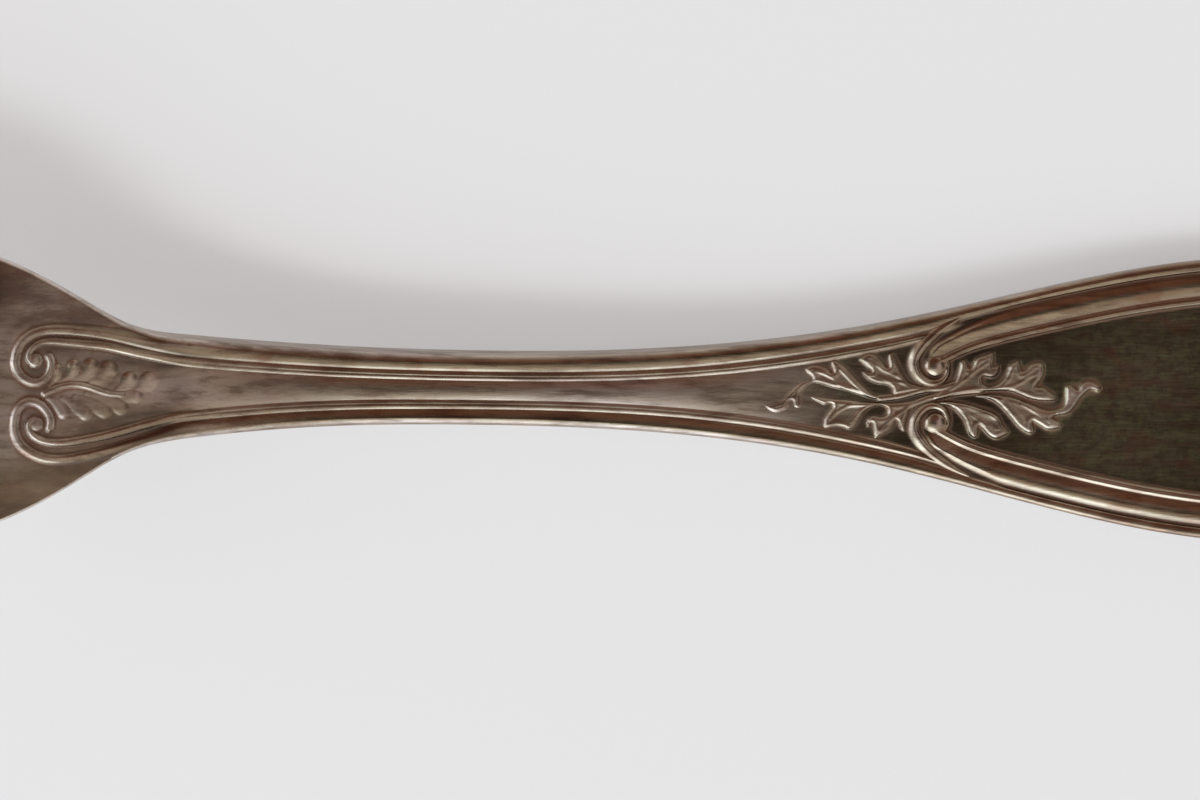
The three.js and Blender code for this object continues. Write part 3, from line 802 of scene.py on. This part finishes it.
def surface_plan(tine_segments, border, rounding):
    """Station, across and distance from the outline of every column in every row of the back or front."""
    slot_across, slot_start = slot_columns(tine_segments)
    border_share, inner_share = column_shares(len(slot_across) - 1, border)
    shares = np.linspace(0, 1, SLOT_ROWS, endpoint=False)[:, None]
    slot_station = between(slot_start[None], SLOT_ZONE_END, shares)
    station = np.concatenate([slot_station, np.repeat(STRAIGHT[:, None], len(slot_across), 1)])
    half = half_width(station)
    radius = rounding(station)
    bordered = inner_share[None] * (half - between(radius, border_reach(station), border_share[None]))
    slotted = slot_across[None] * (half - radius) / (BASE_HALF - SLOT_FILLET)
    across = between(slotted, bordered, ease(SLOT_ZONE_END, ROOT_START, station))

    outward = outward_at_end()
    end_distance = between(rounding(WIDEST), border_reach(WIDEST), border_share[None])
    end_distance = np.repeat(end_distance, END_ROWS + 1, 0)
    end_station = (WIDEST + END_LENGTH * np.sin(END_TURN))[:, None] - outward[:, :1] * end_distance
    edge_across = (END_HALF * np.cos(END_TURN))[:, None]
    end_across = inner_share[None] * (edge_across - outward[:, 1:2] * end_distance)
    end_across[-1] = 0
    return (
        np.concatenate([station, end_station]), np.concatenate([across, end_across]),
        np.concatenate([half - np.abs(across), end_distance]))


def fillet(place, outward, radius, inward):
    """Rows of a quarter round from a rim of the back or front out to the edge's wall."""
    turn = np.linspace(0, math.pi / 2, EDGE_FILLET_SEGMENTS + 1)[1:]
    return [
        place + outward * radius * math.sin(angle) + inward * radius * (1 - math.cos(angle))
        for angle in turn]


def edge_strip(back, front, outward, radius, low_radius):
    """Points down an edge from the back's last column to the front's first, without either."""
    upper = fillet(back, outward, radius, -UPWARD)
    lower = fillet(front, outward, low_radius, UPWARD)[::-1]
    steps = range(1, EDGE_WALL_SEGMENTS)
    wall = [between(upper[-1], lower[0], step / EDGE_WALL_SEGMENTS) for step in steps]
    return np.stack(upper + wall + lower, 1)


# Wear and painted shade: how hollow, how proud, how rubbed and how much a part of the panel's floor each
# point is. Near the root's outline, proudness and rubbing are lowered to paint shade there.

WEAR_AND_SHADE_NAMES = ("hollow", "proud", "rubbed", "panel")
HOLLOW_WINDOW = (3, 5)
HOLLOW_DEPTH = 0.12
PROUD_WINDOW = (16, 16)
PROUD_HEIGHT = 0.22
EDGE_TARNISH = 0.4
# Rubbing fades toward the outline. On the root it fades over a wider band and proudness drops there too,
# which is a painted shade near the root's outline.
RIM_START = 0.2
RIM_WIDTHS = (7, 2.6)
RIM_NARROWS = (66, 80)
RIM_SHADE_RUBBING = 0.2
RIM_SHADE = 0.75
RIM_SHADE_STARTS = (48, 60)
RIM_SHADE_ENDS = (72, 80)
LEAF_RUBBING = 0.45
LEAF_RUBBED = (0.12, 0.26)
FLOOR_RIM = 0.2
FLOOR_CORNER = 0.3
FLOOR_RAISED = (0.1, 0.22)
FLOOR_STARTS = (116, 134)
SLOT_WEAR = (0.0, 1.0, 1.0, 0.0)
TINE_WEAR = (0.0, 0.0, 1.0, 0.0)

rubbing = curve_through(
    (0, 1), (TINE_BASE, 1), (57, 0.68), (63, 0.6), (74, 0.62), (90, 0.44), (118, 0.64), (130, 0.38),
    (142, 0), (END, 0),
)
edge_rubbing = curve_through(
    (0, 1), (TINE_BASE, 1), (66, 0.85), (98, 0.64), (120, 0.56), (140, 0.32), (155, 0.14), (END, 0.1),
)


def blurred(field, window):
    """The field averaged over a window of rows and columns."""
    for axis, reach in enumerate(window):
        padded = np.pad(field, [(reach + 1, reach) if a == axis else (0, 0) for a in (0, 1)], mode="edge")
        total = np.cumsum(padded, axis)
        size = 2 * reach + 1
        ahead = np.take(total, np.arange(size, total.shape[axis]), axis)
        behind = np.take(total, np.arange(0, total.shape[axis] - size), axis)
        field = (ahead - behind) / size
    return field


def floor_share(station, distance, raised):
    """1 on the sunk floor of the handle's panel and 0 on its border and ornament."""
    beyond = ease(0, FLOOR_CORNER, station - band_start(distance))
    border = reed_width(station) + between(
        thread_width(station), band_width(station) + PANEL_THREAD_WIDTH, beyond)
    level = ease(0, FLOOR_RIM, distance - border) * (1 - ease(*FLOOR_RAISED, raised))
    return level * ease(*FLOOR_STARTS, station)


def edge_wear(station):
    rubbed = edge_rubbing(station)
    hollow = EDGE_TARNISH * (1 - rubbed) ** 2
    return np.stack([hollow, rubbed, np.maximum(rubbing(station), rubbed), 0 * station], -1)


def back_wear_and_shade(station, distance, relief, leaves, raised):
    hollow = np.clip((blurred(relief, HOLLOW_WINDOW) - relief) / HOLLOW_DEPTH, -1, 1)
    proud = np.clip((relief - blurred(relief, PROUD_WINDOW)) / PROUD_HEIGHT, -1, 1)
    # Painted shade near the root's outline: rubbing fades and proudness is lowered there, so the colour
    # turns darker.
    inside = ease(RIM_START, between(*RIM_WIDTHS, ease(*RIM_NARROWS, station)), distance)
    rim_shade = (1 - inside) * ease(*RIM_SHADE_STARTS, station) * (1 - ease(*RIM_SHADE_ENDS, station))
    fade = between(1, between(RIM_SHADE_RUBBING, 1, inside), ease(TINE_BASE, ROOT_START, station))
    rubbed = np.maximum(rubbing(station) * fade, LEAF_RUBBING * ease(*LEAF_RUBBED, leaves))
    return np.stack([hollow, proud - RIM_SHADE * rim_shade, rubbed, floor_share(station, distance, raised)], -1)


def skin():
    """Rings of points round the fork from the tines' base to the handle's end, their wear and painted shade,
    and how many of each ring's points are on the back and on the front."""
    station, across, distance = surface_plan(TINE_SEGMENTS, BORDER_SEGMENTS, edge_radius)
    ornament = Canvas(station, across)
    paint_leaves(ornament)
    leaves = ornament.relief.copy()
    paint_scrolls(ornament)
    relief = back_relief(station, across, distance, ornament.relief)
    back = np.stack([station, across, crest_height(station) + relief], -1)
    low_station, low_across, low_distance = surface_plan(
        FRONT_TINE_SEGMENTS, FRONT_BORDER_SEGMENTS, front_radius)
    low_height = middle_height(low_station) - thickness(low_station) / 2
    low_height = low_height + front_relief(low_station, low_distance)
    front = np.stack([low_station, low_across, low_height], -1)
    outward = np.concatenate([np.tile(SIDEWAYS, (SLOT_ROWS + len(STRAIGHT), 1)), outward_at_end()])
    radius = edge_radius(station[:, -1])[:, None]
    low_radius = front_radius(station[:, -1])[:, None]
    right = edge_strip(back[:, -1], front[:, -1], outward, radius, low_radius)
    left = edge_strip(back[:, 0], front[:, 0], outward * OTHER_SIDE, radius, low_radius)
    ring = np.concatenate([back, right, front[:, ::-1], left[:, ::-1]], 1)
    wear_and_shade = edge_wear(ring[:, :, 0])
    wear_and_shade[:, :back.shape[1]] = back_wear_and_shade(station, distance, relief, leaves, ornament.relief)
    return ring, wear_and_shade, back.shape[1], front.shape[1]


def ring_normals(ring):
    return unit(np.cross(np.gradient(ring, axis=0), np.roll(ring, -1, 1) - np.roll(ring, 1, 1)))


# Meshes

def numbered(shape, start=0):
    return start + np.arange(shape[0] * shape[1]).reshape(shape[:2])


def quads_between(index):
    """Faces of a grid of vertex numbers whose second axis closes on itself, without those that are empty."""
    here = index[:-1]
    ahead = index[1:]
    faces = np.stack([here, ahead, np.roll(ahead, -1, 1), np.roll(here, -1, 1)], -1).reshape(-1, 4)
    repeated = (faces == np.roll(faces, 1, 1)).any(1)
    kept = faces[~repeated].tolist()
    for face in faces[repeated]:
        corners = list(dict.fromkeys(face.tolist()))
        if len(corners) > 2:
            kept.append(corners)
    return kept


def make_piece(name, node, faces, surface, material):
    """One piece of the fork from faces over a surface, which is its points, normals, and wear and painted
    shade.
    """
    points, normals, wear_and_shade = surface
    used = np.unique(np.concatenate([np.ravel(face) for face in faces]))
    renumber = np.full(len(points), -1)
    renumber[used] = np.arange(len(used))
    mesh = bpy.data.meshes.new(name)
    mesh.from_pydata(to_row_frame(points[used]).tolist(), [], [renumber[face].tolist() for face in faces])
    for order, title in enumerate(WEAR_AND_SHADE_NAMES):
        attribute = mesh.attributes.new(title, "FLOAT", "POINT")
        attribute.data.foreach_set("value", np.ascontiguousarray(wear_and_shade[used, order]))
    mesh.polygons.foreach_set("use_smooth", np.ones(len(mesh.polygons), bool))
    mesh.normals_split_custom_set_from_vertices(normals[used].tolist())
    mesh.materials.append(material)
    piece = new_object(name, mesh)
    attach(piece, "root")
    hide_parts(node)


def slot_wall(back_row, front_row):
    """Points down the end of a slot, from the back's columns to the front's, and their normals."""
    turn = np.linspace(0, math.pi, SLOT_SEGMENTS + 1)
    outward = np.stack([-np.sin(turn), np.cos(turn), 0 * turn], 1)
    wall = edge_strip(back_row, front_row, outward, SLOT_FILLET, SLOT_FILLET).transpose(1, 0, 2)
    whole = np.concatenate([back_row[None], wall, front_row[None]])
    return wall, unit(np.cross(np.gradient(whole, axis=1), np.gradient(whole, axis=0))[1:-1])


def close_end(last_row, border):
    """Joins the two sides of a surface's last row, and all of it between the borders in one point."""
    last_row[:] = np.minimum(last_row, last_row[::-1])
    last_row[border:len(last_row) - border] = last_row[border]


def make_fork(plate, bright):
    ring, wear_and_shade, back_count, front_count = skin()
    index = numbered(ring.shape)
    front_start = back_count + EDGE_FILLET_SEGMENTS * 2 + EDGE_WALL_SEGMENTS - 1
    front_end = front_start + front_count
    close_end(index[-1, :back_count], BORDER_SEGMENTS)
    close_end(index[-1, front_start:front_end], FRONT_BORDER_SEGMENTS)
    index[-1, front_end:] = index[-1, back_count:front_start][::-1]
    surface = ring.reshape(-1, 3), ring_normals(ring).reshape(-1, 3), wear_and_shade.reshape(-1, 4)
    neck = row_at(NECK)
    handle = row_at(HANDLE_START)

    faces = quads_between(index[handle:]) + [index[handle].tolist()]
    make_piece("fork_handle", "handle", faces, surface, plate)
    faces = quads_between(index[neck:handle + 1]) + [index[neck].tolist(), index[handle, ::-1].tolist()]
    make_piece("fork_shank", "shank", faces, surface, plate)
    faces = quads_between(index[:neck + 1]) + [index[neck, ::-1].tolist()]
    surface, more_faces = tine_ends(surface, index[0], back_count, front_start, front_end)
    make_piece("fork_root", "root", faces + more_faces, surface, plate)
    for order in range(TINE_COUNT):
        make_tine(order, bright)


def tine_ends(surface, row, back_count, front_start, front_end):
    """Closes the root's first row: the walls at the ends of the slots and the sections of the tines."""
    points, normals, wear_and_shade = surface
    back_step = TINE_SEGMENTS + SLOT_SEGMENTS
    front_step = FRONT_TINE_SEGMENTS + SLOT_SEGMENTS
    faces = []
    walls = []
    for order in range(TINE_COUNT - 1):
        above = row[order * back_step + TINE_SEGMENTS:(order + 1) * back_step + 1]
        first = front_end - 1 - (order * front_step + FRONT_TINE_SEGMENTS)
        below = row[first - SLOT_SEGMENTS:first + 1][::-1]
        wall, wall_normals = slot_wall(points[above], points[below])
        numbers = numbered(wall.shape, len(points))
        points = np.concatenate([points, wall.reshape(-1, 3)])
        normals = np.concatenate([normals, wall_normals.reshape(-1, 3)])
        wear_and_shade = np.concatenate([wear_and_shade, np.tile(SLOT_WEAR, (numbers.size, 1))])
        grid = np.concatenate([above[None], numbers, below[None]])
        quads = np.stack([grid[:-1, :-1], grid[:-1, 1:], grid[1:, 1:], grid[1:, :-1]], -1)
        faces += quads.reshape(-1, 4).tolist()
        walls.append(numbers)
    for order in range(TINE_COUNT):
        top = row[order * back_step:order * back_step + TINE_SEGMENTS + 1]
        last = front_end - 1 - order * front_step
        bottom = row[last - FRONT_TINE_SEGMENTS:last + 1]
        right = walls[order][:, 0] if order < TINE_COUNT - 1 else row[back_count:front_start]
        left = walls[order - 1][:, -1] if order > 0 else row[front_end:][::-1]
        faces.append(np.concatenate([top, right, bottom, left[::-1]]).tolist())
    return (points, normals, wear_and_shade), faces


# Tines

ROUNDEST = 0.9
EVEN_EDGE_START = 40
BASE_THICKNESS = 2.8
tine_width = curve_through((0, TINE_TIP_WIDTH), (TINE_BASE, BASE_TINE_WIDTH))
tine_roundness = curve_through(
    (0, 0.62), (12, 0.55), (35, 0.4), (TINE_BASE, 2 * SLOT_FILLET / BASE_THICKNESS),
)


def make_tine(order, material):
    tip_rows = TIP_ROUNDING * (1 - np.cos(np.linspace(0, math.pi / 2, TIP_ROWS)))
    stations = np.concatenate([tip_rows, np.linspace(TIP_ROUNDING, TINE_BASE, TINE_ROWS)[1:]])
    reach = np.clip(stations / TIP_ROUNDING, 0, 1)
    rounding = between(TIP_BLUNTNESS, 1, np.sqrt(1 - (1 - reach) ** 2))
    width = tine_width(stations)
    pitch = (2 * half_width(stations) - width) / (TINE_COUNT - 1)
    centre = ((order - (TINE_COUNT - 1) / 2) * pitch)[:, None]
    half = width / 2 * rounding
    depth = thickness(stations) / 2 * rounding
    least = np.minimum(half, depth)
    radius = np.minimum(tine_roundness(stations) * least, ROUNDEST * least)
    radius = between(radius, SLOT_FILLET, ease(EVEN_EDGE_START, TINE_BASE, stations))
    flat = (half - radius)[:, None]
    top_across = centre + np.linspace(-1, 1, TINE_SEGMENTS + 1) * flat
    bottom_across = centre + np.linspace(1, -1, FRONT_TINE_SEGMENTS + 1) * flat
    column = np.repeat(stations[:, None], TINE_SEGMENTS + 1, 1)
    crown = root_plate(column, top_across) * rounding[:, None]
    top = np.stack([column, top_across, (middle_height(stations) + depth)[:, None] + crown], -1)
    low_column = np.repeat(stations[:, None], FRONT_TINE_SEGMENTS + 1, 1)
    low_relief = front_relief(low_column, half_width(low_column) - np.abs(bottom_across))
    low = (middle_height(stations) - depth)[:, None] + low_relief * rounding[:, None]
    bottom = np.stack([low_column, bottom_across, low], -1)
    radius = radius[:, None]
    right = edge_strip(top[:, -1], bottom[:, 0], SIDEWAYS, radius, radius)
    left = edge_strip(top[:, 0], bottom[:, -1], -SIDEWAYS, radius, radius)
    ring = np.concatenate([top, right, bottom, left[:, ::-1]], 1)
    index = numbered(ring.shape)
    faces = quads_between(index) + [index[0].tolist(), index[-1, ::-1].tolist()]
    wear_and_shade = np.tile(TINE_WEAR, (index.size, 1))
    surface = ring.reshape(-1, 3), ring_normals(ring).reshape(-1, 3), wear_and_shade
    node = f"tine_{order + 1}"
    make_piece(f"fork_{node}", node, faces, surface, material)


# Materials

class Nodes:
    """Short ways to add and join nodes in one tree."""

    def __init__(self, tree):
        self.tree = tree

    def fill(self, node, inputs):
        """Gives a node's inputs numbers, colours or the outputs of other nodes."""
        for name, value in inputs.items():
            socket = node.inputs[name]
            if isinstance(value, bpy.types.NodeSocket):
                self.tree.links.new(value, socket)
            elif socket.type == "RGBA":
                socket.default_value = (*value, 1)
            else:
                socket.default_value = value

    def add(self, kind, inputs, **settings):
        node = self.tree.nodes.new(kind)
        for name, value in settings.items():
            setattr(node, name, value)
        self.fill(node, inputs)
        return node

    def attribute(self, name):
        return self.add("ShaderNodeAttribute", {}, attribute_name=name).outputs["Fac"]

    def grain(self, coordinates, stretch, scale, detail, roughness, turn=0):
        """Noise that is drawn out along the fork."""
        drawn_out = {"Vector": coordinates, "Scale": (stretch, 1, 1), "Rotation": (0, 0, turn)}
        drawn_out = self.add("ShaderNodeMapping", drawn_out).outputs["Vector"]
        noise = {"Vector": drawn_out, "Scale": scale, "Detail": detail, "Roughness": roughness}
        return self.add("ShaderNodeTexNoise", noise).outputs["Fac"]

    def spread(self, value, low, high, new_low, new_high):
        limits = {"From Min": low, "From Max": high, "To Min": new_low, "To Max": new_high}
        limits["Value"] = value
        return self.add("ShaderNodeMapRange", limits, interpolation_type="SMOOTHSTEP").outputs["Result"]

    def maths(self, operation, first, second):
        return self.add("ShaderNodeMath", {0: first, 1: second}, operation=operation).outputs[0]

    def mix(self, share, first, second):
        return self.add("ShaderNodeMix", {"Factor": share, 6: first, 7: second}, data_type="RGBA").outputs[2]

    def ramp(self, value, stops):
        node = self.add("ShaderNodeValToRGB", {"Fac": value})
        while len(node.color_ramp.elements) < len(stops):
            node.color_ramp.elements.new(0.5)
        for element, (place, colour) in zip(node.color_ramp.elements, stops):
            element.position = place
            element.color = (*colour, 1)
        return node.outputs["Color"]


def new_material(name):
    """A material, its nodes and its Principled shader."""
    material = bpy.data.materials.new(name)
    material.use_nodes = True
    return material, Nodes(material.node_tree), material.node_tree.nodes["Principled BSDF"]


WARM_SILVER = (0.5, 0.425, 0.325)
BROWN_TARNISH = (0.32, 0.25, 0.175)
OLIVE_TARNISH = (0.22, 0.225, 0.135)
RED_TARNISH = (0.27, 0.115, 0.07)
GROOVE_TARNISH = (0.23, 0.125, 0.08)
DARK_TARNISH = (0.2, 0.14, 0.105)
# The next colour darkens tarnish spots on the panel's floor and also the broad recesses, where it is partly
# painted shade.
RECESS_TARNISH_AND_SHADE = (0.13, 0.1, 0.078)
WORN_SILVER = (0.58, 0.485, 0.46)
BRIGHT_SILVER = (0.8, 0.75, 0.69)

# Noise patterns: stretch along the fork, scale per metre, detail, roughness and, for the nicks, a turn
CLOUDS = (0.2, 280, 5, 0.6)
SPOTS = (1, 1150, 6, 0.68)
BLOTCHES = (0.6, 540, 4, 0.6)
PATCHES = (0.13, 460, 6, 0.65)
MOTTLES = (0.15, 1200, 6, 0.65)
SCRATCHES = (0.02, 9000, 2, 0.5)
NICKS = (0.05, 5200, 2, 0.5, 0.35)
PATTERNS = (CLOUDS, SPOTS, BLOTCHES, PATCHES, MOTTLES, SCRATCHES, NICKS)

# Shares of colours: as a pattern or a wear goes from the first number to the second, the share goes from
# the third to the fourth
CLOUD_SHARE = (0.35, 0.68, 0, 1)
SPOT_SHARE = (0.4, 0.64, 0, 0.9)
PANEL_SHARE = (0, 1, 0, 0.92)
BLOTCH_SHARE = (0.5, 0.72, 0, 1)
OFF_PANEL = (0, 1, 1, 0.15)
VALLEY_SHARE = (0.05, 0.5, 0, 0.6)
OFF_VALLEY = (0.05, 0.5, 1, 0.2)
CREST_SHARE = (-0.2, -0.8, 0, 0.15)
PROUD_SHARE = (0.3, 1, 0, 0.45)
RUBBED_SHARE = (0.2, 1, 0, 0.95)
RUBBED_PATCHES = (0.38, 0.62, 0.3, 1.15)
BRIGHT_SHARE = (0.7, 1, 0, 1)
OFF_BRIGHT = (0.7, 1, 1, 0.15)
RECESS_AND_SHADE_SHARE = (-0.1, -0.6, 0, 0.8)
RECESS_AND_SHADE_PATCHES = (0.36, 0.64, 1.2, 0.6)
GROOVE_SHARE = (0.25, 0.8, 0, 0.75)
MOTTLE_SHARE = (0.44, 0.68, 0, 0.8)
SCRATCH_SHARE = (0.5, 0.75, 0, 0.2)

# Roughness that patterns and wear add, in the same form, and the bump of scratches and nicks
SCRATCH_ROUGHNESS = (0.35, 0.7, -0.03, 0.05)
CLOUD_ROUGHNESS = (0.3, 0.7, -0.04, 0.06)
HOLLOW_ROUGHNESS = (0, 0.8, 0, 0.4)
RUBBED_ROUGHNESS = (0, 0.7, 0, 0.2)
PROUD_ROUGHNESS = (0.4, 1, 0, 0.07)
BUMP_STRENGTH = (0, 1, 0.12, 0.05)
BUMP_DEPTH = 0.00004
NICK_SHARE = 0.6


def plate_material(name, redness, base_roughness):
    """Silver plate: clouds of tarnish, dark grooves, rubbed crests, broad recesses darkened partly by
    tarnish and partly as painted shade, and fine scratches along the fork.
    """
    material, nodes, shader = new_material(name)
    coordinates = nodes.add("ShaderNodeTexCoord", {}).outputs["Object"]
    hollow, proud, rubbed, panel = (nodes.attribute(title) for title in WEAR_AND_SHADE_NAMES)
    clouds, spots, blotches, patches, mottles, scratches, nicks = (
        nodes.grain(coordinates, *pattern) for pattern in PATTERNS)

    def product(first, second):
        return nodes.maths("MULTIPLY", first, second)

    dull = nodes.mix(nodes.spread(spots, *SPOT_SHARE), OLIVE_TARNISH, RECESS_TARNISH_AND_SHADE)
    valley = product(nodes.spread(hollow, *VALLEY_SHARE), nodes.spread(panel, *OFF_PANEL))
    worn = product(nodes.spread(rubbed, *RUBBED_SHARE), nodes.spread(patches, *RUBBED_PATCHES))
    worn = product(worn, nodes.spread(hollow, *OFF_VALLEY))
    bared = nodes.maths("MAXIMUM", nodes.spread(hollow, *CREST_SHARE), nodes.spread(proud, *PROUD_SHARE))
    # Broad recesses are darkened, partly as tarnish and partly as painted shade, and so is the root's
    # outline, where it is a painted shade.
    recess_and_shade = product(nodes.spread(proud, *RECESS_AND_SHADE_SHARE), nodes.spread(patches, *RECESS_AND_SHADE_PATCHES))
    stain = nodes.maths("ADD", nodes.spread(mottles, *MOTTLE_SHARE), nodes.spread(scratches, *SCRATCH_SHARE))
    layers = (
        (nodes.spread(clouds, *CLOUD_SHARE), BROWN_TARNISH),
        (nodes.spread(panel, *PANEL_SHARE), dull),
        (product(nodes.spread(blotches, *BLOTCH_SHARE), redness), RED_TARNISH),
        (valley, RED_TARNISH),
        (nodes.maths("MAXIMUM", bared, worn), WORN_SILVER),
        (nodes.spread(rubbed, *BRIGHT_SHARE), BRIGHT_SILVER),
        (recess_and_shade, RECESS_TARNISH_AND_SHADE),
        (nodes.spread(hollow, *GROOVE_SHARE), GROOVE_TARNISH),
        (product(stain, nodes.spread(rubbed, *OFF_BRIGHT)), DARK_TARNISH),
    )
    colour = WARM_SILVER
    for share, layer in layers:
        colour = nodes.mix(share, colour, layer)
    rough = (
        (scratches, SCRATCH_ROUGHNESS), (clouds, CLOUD_ROUGHNESS), (hollow, HOLLOW_ROUGHNESS),
        (rubbed, RUBBED_ROUGHNESS), (proud, PROUD_ROUGHNESS),
    )
    roughness = base_roughness
    for value, limits in rough:
        roughness = nodes.maths("ADD", nodes.spread(value, *limits), roughness)
    lines = nodes.maths("ADD", scratches, product(nicks, NICK_SHARE))
    strength = nodes.spread(panel, *BUMP_STRENGTH)
    bump = nodes.add("ShaderNodeBump", {"Strength": strength, "Distance": BUMP_DEPTH, "Height": lines})
    looks = {"Metallic": 1.0, "Base Color": colour, "Roughness": roughness, "Normal": bump.outputs["Normal"]}
    nodes.fill(shader, looks)
    return material


# Stage

FLOOR_COLOUR = (0.785, 0.78, 0.78)
FLOOR_ROUGHNESS = 0.9
FLOOR_SHINE = 0.1
FLOOR_GLOW = 0.45
FLOOR_REACH = 6.0
LAMP_PLACE = (-0.2, -0.6, 0.74)
LAMP_WIDTH = 1.0
LAMP_HEIGHT = 0.2
LAMP_WATTS = 4.1
LAMP_COLOUR = (1.0, 0.99, 0.98)

# The room that the metal reflects: colours from the horizon to overhead, then glows, each with its
# direction, the cosines of its rim and heart, and its colour
ROOM_SKY = (
    (0.0, (0.5, 0.45, 0.41)), (0.5, (0.5, 0.44, 0.39)), (0.82, (0.64, 0.56, 0.485)),
    (0.9, (0.57, 0.485, 0.41)), (0.955, (0.16, 0.13, 0.105)), (0.985, (0.055, 0.052, 0.037)),
    (1.0, (0.045, 0.045, 0.032)),
)
SKY_GLOWS = (
    ((0.53, 0.03, 0.847), 0.94, 0.985, (0.63, 0.545, 0.545)),
    ((0.88, 0.08, 0.47), 0.89, 0.97, (0.11, 0.085, 0.07)),
    ((0.05, 0.5, 0.865), 0.83, 0.95, (0.2, 0.095, 0.065)),
    ((-0.35, -0.66, 0.665), 0.8, 0.94, (0.6, 0.6, 0.5)),
    ((-0.2, -0.86, 0.47), 0.83, 0.97, (2.6, 2.95, 3.3)),
    ((-0.9, -0.12, 0.42), 0.84, 0.955, (2.1, 2.35, 2.75)),
)
HORIZON = (0.5, 0.47, 0.44)
HORIZON_SHARE = (0.06, 0.3, 1, 0)


def make_floor():
    mesh = bpy.data.meshes.new("floor")
    corners = [(x * FLOOR_REACH, y * FLOOR_REACH, 0) for x, y in ((-1, -1), (1, -1), (1, 1), (-1, 1))]
    mesh.from_pydata(corners, [], [(0, 1, 2, 3)])
    material, nodes, shader = new_material("pale_floor")
    looks = {"Base Color": FLOOR_COLOUR, "Roughness": FLOOR_ROUGHNESS, "Specular IOR Level": FLOOR_SHINE}
    nodes.fill(shader, looks)
    glow = nodes.add("ShaderNodeEmission", {"Color": FLOOR_COLOUR}).outputs["Emission"]
    light_path = nodes.add("ShaderNodeLightPath", {}).outputs
    seen = nodes.maths("MAXIMUM", light_path["Is Camera Ray"], light_path["Is Glossy Ray"])
    seen = nodes.maths("MAXIMUM", seen, light_path["Is Transmission Ray"])
    mixed = {0: nodes.maths("MULTIPLY", seen, FLOOR_GLOW), 1: shader.outputs["BSDF"], 2: glow}
    mixed = nodes.add("ShaderNodeMixShader", mixed).outputs["Shader"]
    nodes.fill(material.node_tree.nodes["Material Output"], {"Surface": mixed})
    mesh.materials.append(material)
    new_object("floor", mesh)


def make_lamp():
    """A soft window light, aimed at the origin."""
    data = bpy.data.lights.new("window", "AREA")
    data.shape = "RECTANGLE"
    data.size = LAMP_WIDTH
    data.size_y = LAMP_HEIGHT
    data.energy = LAMP_WATTS
    data.color = LAMP_COLOUR
    lamp = new_object("window", data)
    to_lamp = unit(np.array(LAMP_PLACE))
    right = unit(np.cross(UPWARD, to_lamp))
    lamp.matrix_world = stand(LAMP_PLACE, right, np.cross(to_lamp, right), to_lamp)
    lamp.visible_camera = False
    lamp.visible_glossy = False


def make_room():
    world = bpy.data.worlds.new("room")
    bpy.context.scene.world = world
    world.use_nodes = True
    nodes = Nodes(world.node_tree)
    direction = nodes.add("ShaderNodeTexCoord", {}).outputs["Generated"]
    rise = nodes.add("ShaderNodeSeparateXYZ", {"Vector": direction}).outputs["Z"]
    colour = nodes.ramp(rise, ROOM_SKY)
    for towards, rim, heart, glow in SKY_GLOWS:
        facing = nodes.add("ShaderNodeVectorMath", {0: direction, 1: towards}, operation="DOT_PRODUCT")
        colour = nodes.mix(nodes.spread(facing.outputs["Value"], rim, heart, 0, 1), colour, glow)
    colour = nodes.mix(nodes.spread(rise, *HORIZON_SHARE), colour, HORIZON)
    nodes.fill(world.node_tree.nodes["Background"], {"Color": colour})


make_camera()
tarnished = plate_material("tarnished_plate", redness=0.5, base_roughness=0.15)
bright = plate_material("rubbed_plate", redness=0.3, base_roughness=0.14)
make_fork(tarnished, bright)
make_floor()
make_lamp()
make_room()
bpy.context.scene.view_settings.view_transform = "Standard"
